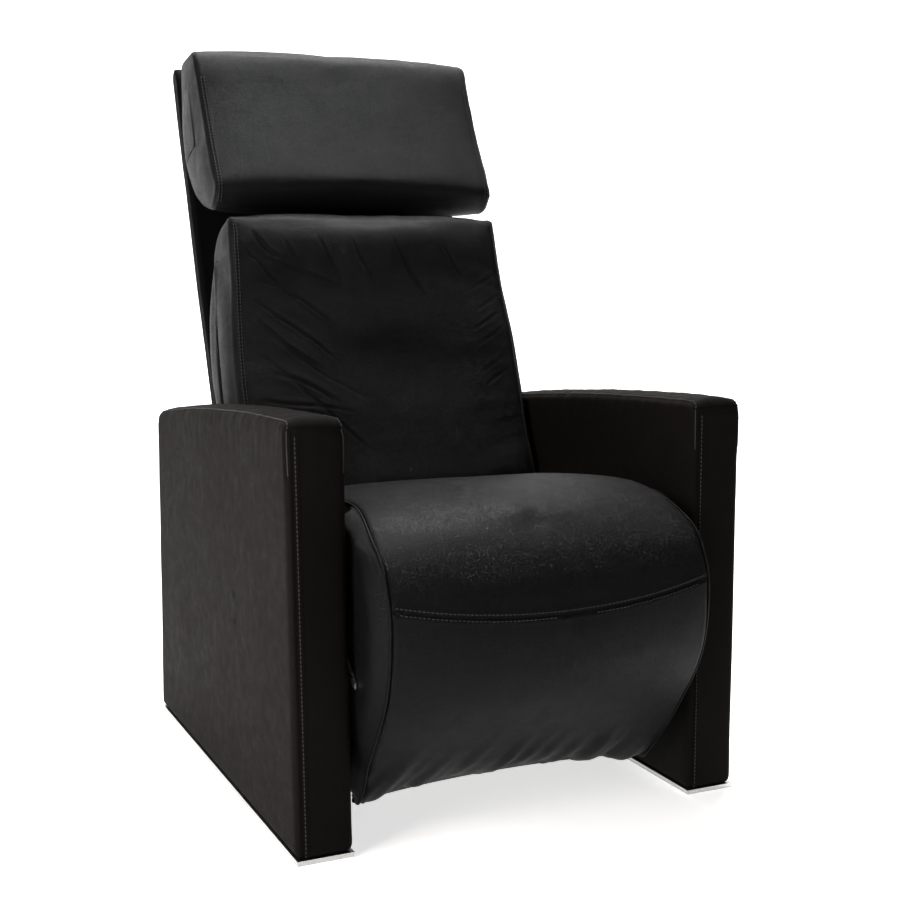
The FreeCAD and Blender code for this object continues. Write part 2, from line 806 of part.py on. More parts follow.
def make_links():
    """The two bars that turn the back's recline into the seat's tilt."""
    outline = [
        ("linkLowY - lugRadius", "linkLowZ - lugRadius"),
        ("linkLowY + lugRadius", "linkLowZ - lugRadius"),
        ("linkLowY + lugRadius", "linkLowZ + 3"),
        ("linkTopY + lugRadius", "linkTopZ + lugRadius"),
        ("linkTopY - lugRadius", "linkTopZ + lugRadius"),
        ("linkTopY - lugRadius", "linkTopZ - 3"),
    ]
    for side in SIDES:
        link = slab(
            side + "Link",
            outline,
            span(side, "linkX", "steelThick"),
            "steelThick",
            [("linkLowY", "linkLowZ", RUNNING), ("linkTopY", "linkTopZ", "pinRadius + 2.8")],
            [("10", [0, 1, 3, 4])],
        )
        keep(link, side + "_tilt_link")


def panel_outline(inset):
    """Side outline of the leaning back panel, drawn in by inset."""
    return [
        ("panelLowY - panelDeep + %s" % inset, "panelLowZ + %s" % inset),
        ("panelLowY - %s" % inset, "panelLowZ + %s" % inset),
        ("panelTopY - %s" % inset, "panelTopZ - %s" % inset),
        ("panelTopY - panelDeep + %s" % inset, "panelTopZ - %s" % inset),
    ]


def make_back_panel():
    """Thin upholstered panel behind the cushions, hollow round the back frame."""
    outer = slab(
        "panelOuter",
        panel_outline("0"),
        "-panelHalf",
        "2 * panelHalf",
        round_corners=[("14", [2, 3]), ("8", [0, 1])],
        rim="7",
    )
    half = "(panelHalf - coverThick)"
    space = slab(
        "panelSpace",
        panel_outline("coverThick"),
        "-" + half,
        "2 * " + half,
        round_corners=[("11", [2, 3]), ("5", [0, 1])],
        rim="4",
    )
    openings = []
    for side in SIDES:
        low = span(side, "backPlateX - 1.5", "9")
        openings.append(block("plateDoor" + side, (low, "200", "345"), ("9", "78", "60")))
        low = span(side, "148.5", "9")
        openings.append(block("armDoor" + side, (low, "400", "910"), ("9", "42", "40")))
    keep(less("panelCover", outer, [space] + openings), "back_panel_cover")


def make_back_cushion():
    cushion = slab(
        "backPad",
        BACK_OUTLINE,
        "-backHalf",
        "2 * backHalf",
        round_corners=[("16", [0, 5]), ("22", [3, 4]), ("30", [2])],
        rim="rimRadius",
    )
    keep(cushion, "back_cushion")


# ---------------------------------------------------------------- head rest

HEAD_OUTLINE = [
    ("242", "921"),
    ("300", "900"),
    ("361", "898"),
    ("415", "940"),
    ("438", "990"),
    ("446", "1040"),
    ("452", "1140"),
    ("346", "1157", "900"),
]

HEAD_BOARD_OUTLINE = [("420", "1000"), ("431", "1000"), ("438", "1125"), ("427", "1125")]

HEAD_ARM_OUTLINE = [
    ("headPivotY - lugRadius", "headPivotZ - lugRadius"),
    ("headPivotY + lugRadius", "headPivotZ - lugRadius"),
    ("430", "914"),
    ("430", "934"),
    ("headPivotY + lugRadius", "headPivotZ + lugRadius"),
    ("headPivotY - lugRadius", "headPivotZ + lugRadius"),
]

HEAD_LUG_OUTLINE = [
    ("headPivotY - lugRadius", "headPivotZ - lugRadius"),
    ("headPivotY + lugRadius", "headPivotZ - lugRadius"),
    ("415", "990"),
    ("419.7", "1060"),
    ("405", "1055"),
    ("headPivotY", "headPivotZ + lugRadius + 3"),
    ("headPivotY - lugRadius", "headPivotZ + lugRadius"),
]


def make_headrest():
    """Arms from the back frame, friction hinges, a plywood board and the cushion round it."""
    lugs = []
    pins = []
    slots = []
    for side in SIDES:
        arm = slab(
            side + "HeadArm",
            HEAD_ARM_OUTLINE,
            span(side, "150", "steelThick"),
            "steelThick",
            [("headPivotY", "headPivotZ", "pinRadius")],
            [("10", [0, 5])],
        )
        keep(arm, side + "_headrest_arm")
        lug = slab(
            side + "HeadLug",
            HEAD_LUG_OUTLINE,
            span(side, "158", "4"),
            "4",
            [("headPivotY", "headPivotZ", RUNNING)],
            [("10", [0])],
        )
        lugs.append(lug)
        pins.append(rod(side + "HeadPin", ("headPivotY", "headPivotZ"), span(side, "149", "14"), "14", PIN))
        slots.append(
            block("headSlot" + side, (span(side, "147", "18"), "295", "885"), ("18", "150", "65"))
        )
        room = slab(side + "LugRoom", HEAD_LUG_OUTLINE, span(side, "157.8", "4.4"), "4.4")
        slots.append(room)
    group("headrest_hinge_lugs", lugs)
    group("headrest_pins", pins)
    keep(slab("headBoard", HEAD_BOARD_OUTLINE, "-225", "450"), "headrest_board")
    board_room = slab("headBoardRoom", HEAD_BOARD_OUTLINE, "-225", "450")
    whole = slab(
        "headPad",
        HEAD_OUTLINE,
        "-headHalf",
        "2 * headHalf",
        round_corners=[("14", [0]), ("18", [6, 7]), ("25", [2, 3])],
        rim="rimRadius",
    )
    keep(less("headCushion", whole, slots + [board_room]), "headrest_cushion")


# ---------------------------------------------------------------- whole chair

for side in SIDES:
    make_arm(side)
make_floor_plate_screws()
make_brackets()
make_base_frame()
make_rear_rail()
make_seat_frame()
make_seat_springs()
make_seat_cushion()
make_gas_spring()
make_release()
make_legrest()
make_back_frame()
make_links()
make_back_panel()
make_back_cushion()
make_headrest()
doc.recompute()

for item in doc.Objects:
    if "Invalid" in item.State or "Error" in item.State:
        raise RuntimeError("%s was not made: %s" % (item.Name, item.State))
for item in nodes:
    if item.Shape.isNull() or not item.Shape.isValid():
        raise RuntimeError("%s has no sound shape" % item.Label)

os.makedirs("parts", exist_ok=True)
for item in nodes:
    item.Shape.exportStep(os.path.join("parts", item.Label + ".step"))
print(len(nodes), "sub-parts written")
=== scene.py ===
"""The looks of a leather reclining armchair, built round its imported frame."""
import json
import math

import bmesh
import bpy
import numpy as np
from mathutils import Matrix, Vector, noise
from mathutils.bvhtree import BVHTree
from mathutils.kdtree import KDTree

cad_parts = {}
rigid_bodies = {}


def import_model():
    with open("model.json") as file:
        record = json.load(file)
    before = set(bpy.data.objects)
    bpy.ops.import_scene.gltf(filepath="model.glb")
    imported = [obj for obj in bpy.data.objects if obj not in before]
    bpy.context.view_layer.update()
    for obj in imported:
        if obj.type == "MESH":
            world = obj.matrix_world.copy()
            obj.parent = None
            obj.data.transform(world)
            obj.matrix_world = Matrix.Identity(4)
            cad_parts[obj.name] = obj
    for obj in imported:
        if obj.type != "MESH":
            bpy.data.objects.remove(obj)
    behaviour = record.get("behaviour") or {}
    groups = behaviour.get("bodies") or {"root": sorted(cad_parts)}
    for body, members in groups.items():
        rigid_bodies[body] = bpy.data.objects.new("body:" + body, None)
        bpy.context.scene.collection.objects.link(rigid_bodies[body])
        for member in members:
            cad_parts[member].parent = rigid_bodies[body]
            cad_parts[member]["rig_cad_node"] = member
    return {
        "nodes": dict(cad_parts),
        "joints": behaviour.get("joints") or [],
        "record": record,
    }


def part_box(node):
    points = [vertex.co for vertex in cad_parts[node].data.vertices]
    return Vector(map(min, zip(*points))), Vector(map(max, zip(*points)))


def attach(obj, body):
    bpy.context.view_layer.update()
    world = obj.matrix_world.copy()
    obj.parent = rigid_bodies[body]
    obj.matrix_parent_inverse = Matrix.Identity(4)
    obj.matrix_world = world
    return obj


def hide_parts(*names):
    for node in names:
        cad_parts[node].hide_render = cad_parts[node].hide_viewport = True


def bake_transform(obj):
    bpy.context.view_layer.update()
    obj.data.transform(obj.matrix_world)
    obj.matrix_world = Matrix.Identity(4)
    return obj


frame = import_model()
for spare in list(bpy.data.objects):
    if "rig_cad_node" not in spare and not spare.name.startswith("body:"):
        bpy.data.objects.remove(spare)
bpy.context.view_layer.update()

MM = 0.001
DIAGONAL = 0.7071
SIDES = (("left", -1), ("right", 1))


# ---------------------------------------------------------------- outlines


def placed(node, corners):
    """Corners given as shares of a node's box along Y and Z, in metres; the rest is kept."""
    low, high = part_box(node)
    return [
        (low.y + (high.y - low.y) * c[0], low.z + (high.z - low.z) * c[1], *c[2:]) for c in corners
    ]


def evenly(points, step, closed):
    """The same line with its points spaced evenly."""
    points = np.array(points)
    if closed:
        points = np.vstack([points, points[:1]])
    runs = np.linalg.norm(np.diff(points, axis=0), axis=1)
    reach = np.concatenate([[0], np.cumsum(runs)])
    count = max(4, int(round(reach[-1] / step)))
    marks = np.linspace(0, reach[-1], count + 1)
    if closed:
        marks = marks[:-1]
    return np.stack([np.interp(marks, reach, points[:, k]) for k in range(points.shape[1])], axis=1)


def rounded_loop(corners, step):
    """Closed side outline from (y, z, radius, bow) corners, counter-clockwise seen from +X.

    The side that starts at a corner bows outwards by bow; the corner is rounded by radius.
    """
    places = [np.array(c[:2], float) for c in corners]
    count = len(corners)

    def on_side(index, along):
        start = places[index % count]
        run = places[(index + 1) % count] - start
        length = np.linalg.norm(run)
        share = along / length if along >= 0 else 1 + along / length
        out = np.array([run[1], -run[0]]) / length
        return start + run * share + out * corners[index % count][3] * 4 * share * (1 - share)

    line = []
    for index in range(count):
        length = np.linalg.norm(places[(index + 1) % count] - places[index])
        radius = corners[index][2]
        following = corners[(index + 1) % count][2]
        for along in np.linspace(radius, length - following, 20):
            line.append(on_side(index, min(along, length - 1e-6)))
        first = on_side(index, -max(following, 1e-6))
        corner = places[(index + 1) % count]
        last = on_side(index + 1, max(following, 1e-6))
        for t in np.linspace(0, 1, 9)[1:-1]:
            line.append(first * (1 - t) ** 2 + corner * 2 * t * (1 - t) + last * t ** 2)
    return evenly(line, step, True)


def smooth_line(places, step):
    """Open line through a few places, smooth between them (Catmull-Rom)."""
    places = np.array(places, float)
    ends = np.vstack([2 * places[0] - places[1], places, 2 * places[-1] - places[-2]])
    line = []
    for index in range(1, len(ends) - 2):
        before, start, end, after = ends[index - 1 : index + 3]
        for t in np.linspace(0, 1, 24, endpoint=False):
            line.append(
                0.5
                * (
                    2 * start
                    + (end - before) * t
                    + (2 * before - 5 * start + 4 * end - after) * t ** 2
                    + (3 * start - before - 3 * end + after) * t ** 3
                )
            )
    line.append(places[-1])
    return evenly(line, step, False)


def outward(line, closed):
    """Unit normals of a side outline, outwards when it runs counter-clockwise."""
    if closed:
        run = np.roll(line, -1, axis=0) - np.roll(line, 1, axis=0)
    else:
        run = np.gradient(line, axis=0)
    normal = np.stack([run[:, 1], -run[:, 0]], axis=1)
    return normal / np.linalg.norm(normal, axis=1, keepdims=True)


def columns_between(count, edge=(2.5 * MM, 6 * MM), half=0.25):
    """Shares from -1 to 1 across a band, with two lines close to each edge for its seam."""
    inner = np.linspace(-1 + 2 * edge[1] / half, 1 - 2 * edge[1] / half, count)
    close = [1 - e / half for e in edge]
    return np.array([-1] + [-c for c in close] + list(inner) + close[::-1] + [1])


# ---------------------------------------------------------------- meshes


def new_object(name, places, faces):
    mesh = bpy.data.meshes.new(name)
    mesh.from_pydata([tuple(p) for p in places], [], faces)
    mesh.validate()
    piece = bpy.data.objects.new(name, mesh)
    bpy.context.scene.collection.objects.link(piece)
    return piece


def tidy_mesh(piece):
    """Consistent normals and smooth shading."""
    work = bmesh.new()
    work.from_mesh(piece.data)
    bmesh.ops.remove_doubles(work, verts=work.verts, dist=1e-6)
    bmesh.ops.recalc_face_normals(work, faces=work.faces)
    work.to_mesh(piece.data)
    work.free()
    piece.data.shade_smooth()
    return piece


def coordinates(piece):
    places = np.zeros(len(piece.data.vertices) * 3, np.float32)
    piece.data.vertices.foreach_get("co", places)
    return places.reshape(-1, 3).astype(float)


def set_coordinates(piece, places):
    piece.data.vertices.foreach_set("co", places.astype(np.float32).ravel())
    piece.data.update()


def normals(piece):
    values = np.zeros(len(piece.data.vertices) * 3, np.float32)
    piece.data.vertex_normals.foreach_get("vector", values)
    return values.reshape(-1, 3).astype(float)


def rounding(near, radius):
    """Height above the rim of a round edge, at a distance near from the rim."""
    if not radius:
        return np.zeros_like(near)
    fall = np.clip(DIAGONAL - near / radius, 0, 1)
    return radius * (np.sqrt(1 - fall ** 2) - DIAGONAL)


def band_form(
    name, loop, half, columns, spine, crown, bulge, middle=0.0, rings=9, crown_power=2.2, edge=0.0
):
    """A closed cushion: a band across X whose side outline is loop, and a panel at each end.

    half and crown are one number or one per outline point. The end panels draw in to the spine,
    a line seen from the side, and swell outwards by bulge. edge rounds the two rims.
    """
    count = len(loop)
    across = len(columns)
    half = np.broadcast_to(half, count)
    crown = np.broadcast_to(crown, count)
    out = outward(loop, True)
    places = []
    for index in range(count):
        for share in columns:
            swell = crown[index] * (1 - abs(share) ** crown_power)
            near = (1 - abs(share)) * half[index]
            swell += rounding(near, edge)
            y, z = loop[index] + out[index] * swell
            places.append((middle + half[index] * share, y, z))
    faces = []
    for index in range(count):
        following = (index + 1) % count
        for column in range(across - 1):
            a = index * across + column
            b = following * across + column
            faces.append((a, a + 1, b + 1, b))
    first, last = (np.array(p, float) for p in spine)
    run = last - first
    length = float(run @ run) or 1.0
    share = np.clip(((loop - first) @ run) / length, 0, 1)
    target = first + share[:, None] * run
    reach = np.linalg.norm(target - loop, axis=1)
    marks = np.concatenate([[0.012, 0.03, 0.06], np.linspace(0.1, 0.93, rings)])
    for side, column in ((-1, 0), (1, across - 1)):
        ring = [index * across + column for index in range(count)]
        for mark in marks:
            line = loop + (target - loop) * mark
            swell = bulge * (1 - (1 - mark) ** 5) + rounding(mark * reach, edge)
            x = middle + side * (half + swell)
            start = len(places)
            places.extend((x[i], line[i][0], line[i][1]) for i in range(count))
            following = [start + index for index in range(count)]
            for index in range(count):
                nxt = (index + 1) % count
                faces.append((ring[index], ring[nxt], following[nxt], following[index]))
            ring = following
        faces.append(tuple(ring))
    piece = new_object(name, places, faces)
    work = bmesh.new()
    work.from_mesh(piece.data)
    large = [f for f in work.faces if len(f.verts) > 4]
    bmesh.ops.triangulate(work, faces=large)
    work.to_mesh(piece.data)
    work.free()
    return tidy_mesh(piece)


def sheet_form(name, line, half, columns, crown, crown_power=2.2):
    """A leather panel across X, whose side outline is the open line."""
    count = len(line)
    across = len(columns)
    half = np.broadcast_to(half, count)
    crown = np.broadcast_to(crown, count)
    out = outward(line, False)
    places = []
    for index in range(count):
        for share in columns:
            swell = crown[index] * (1 - abs(share) ** crown_power)
            y, z = line[index] + out[index] * swell
            places.append((half[index] * share, y, z))
    faces = []
    for index in range(count - 1):
        for column in range(across - 1):
            a = index * across + column
            b = (index + 1) * across + column
            faces.append((a, b, b + 1, a + 1))
    piece = new_object(name, places, faces)
    piece.data.shade_smooth()
    return piece


def refine(piece, levels=1):
    """One smooth subdivision, applied."""
    modifier = piece.modifiers.new("Fine", "SUBSURF")
    modifier.levels = levels
    return apply_modifiers(piece)


def apply_modifiers(piece):
    bpy.context.view_layer.update()
    graph = bpy.context.evaluated_depsgraph_get()
    mesh = bpy.data.meshes.new_from_object(piece.evaluated_get(graph))
    piece.modifiers.clear()
    piece.data = mesh
    piece.data.shade_smooth()
    return piece


def thicken(piece, thick):
    """Closes an open panel into a thin solid, its outer face kept where it is."""
    modifier = piece.modifiers.new("Thick", "SOLIDIFY")
    modifier.thickness = thick
    modifier.offset = -1
    return apply_modifiers(piece)


def inflate(piece, held, pressure, cap, slack=0.0, frames=20):
    """Cloth simulation: air pressure swells the leather between its held seams.

    No point moves further than cap, and slack lets the leather grow a little so that it puckers.
    """
    group = piece.vertex_groups.new(name="held")
    for index in np.flatnonzero(held > 0):
        group.add([int(index)], float(held[index]), "REPLACE")
    modifier = piece.modifiers.new("Cloth", "CLOTH")
    cloth = modifier.settings
    cloth.quality = 5
    cloth.mass = 0.3
    cloth.tension_stiffness = 18
    cloth.compression_stiffness = 12
    cloth.shear_stiffness = 6
    cloth.bending_stiffness = 0.6
    cloth.use_pressure = True
    cloth.uniform_pressure_force = pressure
    cloth.effector_weights.gravity = 0
    cloth.vertex_group_mass = "held"
    cloth.shrink_min = -slack
    modifier.collision_settings.use_collision = False
    modifier.point_cache.frame_start = 1
    modifier.point_cache.frame_end = frames
    before = coordinates(piece)
    for step in range(1, frames + 1):
        bpy.context.scene.frame_set(step)
    graph = bpy.context.evaluated_depsgraph_get()
    settled = piece.evaluated_get(graph)
    after = coordinates(settled)
    move = after - before
    ends = np.array([tuple(edge.vertices) for edge in piece.data.edges])
    for _ in range(3):
        total = move.copy()
        number = np.ones((len(move), 1))
        for first, last in ((0, 1), (1, 0)):
            np.add.at(total, ends[:, first], move[ends[:, last]])
            np.add.at(number, ends[:, first], 1)
        move = total / number
    move *= (1 - held)[:, None]
    far = np.linalg.norm(move, axis=1, keepdims=True)
    limit = cap * np.tanh(far / cap) / np.maximum(far, 1e-9)
    piece.modifiers.clear()
    piece.vertex_groups.clear()
    set_coordinates(piece, before + move * limit)
    bpy.context.scene.frame_set(1)
    return piece


def nearest_distance(places, line):
    """Distance from each place to a line of points, and the index of its nearest point."""
    tree = KDTree(len(line))
    for index, point in enumerate(line):
        tree.insert(point, index)
    tree.balance()
    found = [tree.find(p) for p in places]
    return np.array([f[2] for f in found]), np.array([f[1] for f in found])


def dense(line, step=1.5 * MM):
    return evenly(line, step, False)


def groove(piece, lines, depth, width):
    """Draws the leather in along seams, with a low swell on both sides of them."""
    places = coordinates(piece)
    away = normals(piece)
    line = np.vstack([dense(l) for l in lines])
    far, _ = nearest_distance(places, line)
    push = -depth * np.exp(-((far / width) ** 2))
    push += 0.35 * depth * np.exp(-(((far - 2.6 * width) / (1.3 * width)) ** 2))
    set_coordinates(piece, places + away * push[:, None])
    return piece


def crease(piece, strokes):
    """Presses creases into the leather. A stroke is (line, depth, width)."""
    places = coordinates(piece)
    away = normals(piece)
    points = []
    depths = []
    widths = []
    for line, depth, width in strokes:
        line = dense(line, 2 * MM)
        t = np.linspace(0, 1, len(line))
        points.append(line)
        depths.append(depth * np.sin(math.pi * np.clip(t * 1.06, 0, 1)) ** 0.7)
        widths.append(np.full(len(line), width))
    far, index = nearest_distance(places, np.vstack(points))
    depth = np.concatenate(depths)[index]
    width = np.concatenate(widths)[index]
    push = -depth * np.exp(-((far / width) ** 2))
    push += 0.55 * depth * np.exp(-(((far - 2.2 * width) / (1.4 * width)) ** 2))
    set_coordinates(piece, places + away * push[:, None])
    return piece


def ripple(piece, amount):
    """Moves each point along its normal by amount(places, normals)."""
    places = coordinates(piece)
    away = normals(piece)
    set_coordinates(piece, places + away * amount(places, away)[:, None])
    return piece


def waves(places, scale, seed, stretch=(1, 1, 1)):
    """Smooth seeded noise at each place, about -1 to 1; scale is the size of its features."""
    shift = Vector((seed * 7.31, seed * 3.17, seed * 5.53))
    spread = Vector([1 / (scale * s) for s in stretch])
    return np.array([noise.noise(Vector(p) * spread + shift) for p in places.tolist()])


def front_of(surface, x, z, start_y=-1.0):
    """Where a level ray towards +Y meets the surface."""
    hit = surface.ray_cast(Vector((x, start_y, z)), Vector((0, 1, 0)))
    return hit[0]


def tree_of(piece):
    graph = bpy.context.evaluated_depsgraph_get()
    bpy.context.view_layer.update()
    return BVHTree.FromObject(piece, graph)


def stitches(name, piece, lines, pitch=6 * MM, length=4.4 * MM, radius=0.8 * MM):
    """Rows of thread stitches lying in the leather along lines near its surface."""
    surface = tree_of(piece)
    places = []
    faces = []
    rim = 6
    for line in lines:
        marks = evenly(line, pitch / 2, False)
        for index in range(1, len(marks) - 1, 2):
            spot, away, _, _ = surface.find_nearest(Vector(marks[index]))
            if spot is None:
                continue
            along = Vector(marks[index + 1] - marks[index - 1])
            along = (along - away * along.dot(away)).normalized()
            aside = away.cross(along)
            base = len(places)
            for reach, size in ((-0.5, 0.35), (-0.3, 1.0), (0.3, 1.0), (0.5, 0.35)):
                centre = spot + along * (reach * length) + away * (radius * 0.6)
                for corner in range(rim):
                    turn = 2 * math.pi * corner / rim
                    offset = aside * math.cos(turn) + away * math.sin(turn)
                    places.append(centre + offset * (radius * size))
            for ring in range(3):
                for corner in range(rim):
                    a = base + ring * rim + corner
                    b = base + ring * rim + (corner + 1) % rim
                    faces.append((a, b, b + rim, a + rim))
            faces.append(tuple(base + corner for corner in reversed(range(rim))))
            faces.append(tuple(base + 3 * rim + corner for corner in range(rim)))
    threads = new_object(name, places, faces)
    threads.data.shade_smooth()
    threads.data.materials.append(thread)
    return threads


def tube(name, line, radius, around=10):
    """A thin round cord of leather along a line of points."""
    line = np.array(line)
    run = np.gradient(line, axis=0)
    run /= np.linalg.norm(run, axis=1, keepdims=True)
    side = np.array([1.0, 0, 0])
    places = []
    faces = []
    for index, point in enumerate(line):
        first = side - run[index] * (side @ run[index])
        if np.linalg.norm(first) < 1e-3:
            first = np.array([0, 0, 1.0])
        first /= np.linalg.norm(first)
        second = np.cross(run[index], first)
        for corner in range(around):
            turn = 2 * math.pi * corner / around
            places.append(point + radius * (first * math.cos(turn) + second * math.sin(turn)))
    for index in range(len(line) - 1):
        for corner in range(around):
            a = index * around + corner
            b = index * around + (corner + 1) % around
            faces.append((a, b, b + around, a + around))
    faces.append(tuple(reversed(range(around))))
    faces.append(tuple((len(line) - 1) * around + corner for corner in range(around)))
    return tidy_mesh(new_object(name, places, faces))


# ---------------------------------------------------------------- materials


def material(name):
    made = bpy.data.materials.new(name)
    made.use_nodes = True
    tree = made.node_tree
    shader = tree.nodes["Principled BSDF"]
    return made, tree, shader


def node(tree, kind, **values):
    made = tree.nodes.new(kind)
    for key, value in values.items():
        if key in made.inputs:
            made.inputs[key].default_value = value
        else:
            setattr(made, key, value)
    return made


def ranged(tree, source, low, high, first, last):
    """A value remapped from low..high to first..last."""
    made = node(tree, "ShaderNodeMapRange")
    made.inputs["From Min"].default_value = low
    made.inputs["From Max"].default_value = high
    made.inputs["To Min"].default_value = first
    made.inputs["To Max"].default_value = last
    tree.links.new(source, made.inputs["Value"])
    return made.outputs["Result"]


def mixed(tree, factor, first, last):
    """A colour between two, by factor."""
    made = node(tree, "ShaderNodeMix", data_type="RGBA")
    tree.links.new(factor, made.inputs["Factor"])
    for socket, value in ((made.inputs["A"], first), (made.inputs["B"], last)):
        if isinstance(value, tuple):
            socket.default_value = (*value, 1)
        else:
            tree.links.new(value, socket)
    return made.outputs["Result"]


def leather(name, dark, light, rough, grain=1.0, shine=0.28):
    """Black aniline leather: pebbled grain, fine creases, cloudy colour and gloss."""
    made, tree, shader = material(name)
    place = node(tree, "ShaderNodeTexCoord").outputs["Object"]
    cells = node(
        tree, "ShaderNodeTexVoronoi", feature="DISTANCE_TO_EDGE", Scale=620.0, Randomness=0.95
    )
    bend = node(tree, "ShaderNodeTexNoise", Scale=90.0, Detail=3.0)
    shift = node(tree, "ShaderNodeVectorMath", operation="MULTIPLY_ADD")
    shift.inputs[1].default_value = (0.0025, 0.0025, 0.0025)
    tree.links.new(place, bend.inputs["Vector"])
    tree.links.new(bend.outputs["Color"], shift.inputs[0])
    tree.links.new(place, shift.inputs[2])
    tree.links.new(shift.outputs[0], cells.inputs["Vector"])
    fine = node(tree, "ShaderNodeTexNoise", Scale=1500.0, Detail=2.0)
    folds = node(tree, "ShaderNodeTexNoise", Scale=46.0, Detail=6.0, Roughness=0.62, Distortion=0.6)
    cloud = node(tree, "ShaderNodeTexNoise", Scale=5.5, Detail=4.0, Roughness=0.55)
    for texture in (fine, folds, cloud):
        tree.links.new(place, texture.inputs["Vector"])
    valley = ranged(tree, cells.outputs["Distance"], 0.0, 0.22, 0.0, 1.0)
    tone = node(tree, "ShaderNodeMath", operation="MULTIPLY_ADD")
    tree.links.new(cloud.outputs["Fac"], tone.inputs[0])
    tone.inputs[1].default_value = 0.75
    tree.links.new(ranged(tree, valley, 0, 1, 0.0, 0.25), tone.inputs[2])
    colour = mixed(tree, tone.outputs[0], dark, light)
    tree.links.new(colour, shader.inputs["Base Color"])
    gloss = node(tree, "ShaderNodeMath", operation="MULTIPLY_ADD")
    tree.links.new(cloud.outputs["Fac"], gloss.inputs[0])
    gloss.inputs[1].default_value = 0.16
    matte = ranged(tree, folds.outputs["Fac"], 0.3, 0.7, rough - 0.12, rough)
    tree.links.new(matte, gloss.inputs[2])
    tree.links.new(gloss.outputs[0], shader.inputs["Roughness"])
    shader.inputs["Specular IOR Level"].default_value = shine
    low = node(tree, "ShaderNodeBump", Strength=0.5, Distance=1.0 * MM)
    tree.links.new(folds.outputs["Fac"], low.inputs["Height"])
    middle = node(tree, "ShaderNodeBump", Strength=0.9 * grain, Distance=0.35 * MM)
    tree.links.new(valley, middle.inputs["Height"])
    tree.links.new(low.outputs["Normal"], middle.inputs["Normal"])
    top = node(tree, "ShaderNodeBump", Strength=0.25, Distance=0.06 * MM)
    tree.links.new(fine.outputs["Fac"], top.inputs["Height"])
    tree.links.new(middle.outputs["Normal"], top.inputs["Normal"])
    tree.links.new(top.outputs["Normal"], shader.inputs["Normal"])
    return made


def metal(name, dark, light, rough, stretch=None, metallic=1.0):
    """Steel or aluminium with brushed or cloudy finish."""
    made, tree, shader = material(name)
    place = node(tree, "ShaderNodeTexCoord").outputs["Object"]
    mapping = node(tree, "ShaderNodeMapping")
    mapping.inputs["Scale"].default_value = stretch or (1, 1, 1)
    tree.links.new(place, mapping.inputs["Vector"])
    fineness = 220.0 if stretch else 60.0
    marks = node(tree, "ShaderNodeTexNoise", Scale=fineness, Detail=5.0, Roughness=0.6)
    cloud = node(tree, "ShaderNodeTexNoise", Scale=9.0, Detail=3.0)
    tree.links.new(mapping.outputs["Vector"], marks.inputs["Vector"])
    tree.links.new(place, cloud.inputs["Vector"])
    tree.links.new(mixed(tree, cloud.outputs["Fac"], dark, light), shader.inputs["Base Color"])
    matte = ranged(tree, marks.outputs["Fac"], 0.3, 0.7, rough - 0.08, rough + 0.1)
    tree.links.new(matte, shader.inputs["Roughness"])
    bump = node(tree, "ShaderNodeBump", Strength=0.2, Distance=0.08 * MM)
    tree.links.new(marks.outputs["Fac"], bump.inputs["Height"])
    tree.links.new(bump.outputs["Normal"], shader.inputs["Normal"])
    shader.inputs["Metallic"].default_value = metallic
    return made


def wood(name):
    """Birch plywood: stretched grain in thin layers."""
    made, tree, shader = material(name)
    place = node(tree, "ShaderNodeTexCoord").outputs["Object"]
    mapping = node(tree, "ShaderNodeMapping")
    mapping.inputs["Scale"].default_value = (30, 4, 60)
    tree.links.new(place, mapping.inputs["Vector"])
    grain = node(tree, "ShaderNodeTexNoise", Scale=6.0, Detail=6.0, Distortion=0.8)
    tree.links.new(mapping.outputs["Vector"], grain.inputs["Vector"])
    colour = mixed(tree, grain.outputs["Fac"], (0.42, 0.27, 0.14), (0.72, 0.56, 0.36))
    tree.links.new(colour, shader.inputs["Base Color"])
    matte = ranged(tree, grain.outputs["Fac"], 0.3, 0.7, 0.5, 0.68)
    tree.links.new(matte, shader.inputs["Roughness"])
    bump = node(tree, "ShaderNodeBump", Strength=0.25, Distance=0.3 * MM)
    tree.links.new(grain.outputs["Fac"], bump.inputs["Height"])
    tree.links.new(bump.outputs["Normal"], shader.inputs["Normal"])
    return made


def weave(name, dark, light, scale):
    """Fabric: two crossed sets of fine threads."""
    made, tree, shader = material(name)
    place = node(tree, "ShaderNodeTexCoord").outputs["Object"]
    threads = []
    for direction in ("X", "Z"):
        wave = node(tree, "ShaderNodeTexWave", Scale=scale, Distortion=0.4, Detail=1.0)
        wave.bands_direction = direction
        tree.links.new(place, wave.inputs["Vector"])
        threads.append(wave.outputs["Fac"])
    height = node(tree, "ShaderNodeMath", operation="MULTIPLY")
    tree.links.new(threads[0], height.inputs[0])
    tree.links.new(threads[1], height.inputs[1])
    fuzz = node(tree, "ShaderNodeTexNoise", Scale=40.0, Detail=4.0)
    tree.links.new(place, fuzz.inputs["Vector"])
    tree.links.new(mixed(tree, fuzz.outputs["Fac"], dark, light), shader.inputs["Base Color"])
    tree.links.new(ranged(tree, height.outputs[0], 0, 1, 0.72, 0.95), shader.inputs["Roughness"])
    bump = node(tree, "ShaderNodeBump", Strength=0.5, Distance=0.3 * MM)
    tree.links.new(height.outputs[0], bump.inputs["Height"])
    tree.links.new(bump.outputs["Normal"], shader.inputs["Normal"])
    shader.inputs["Sheen Weight"].default_value = 0.15
    return made


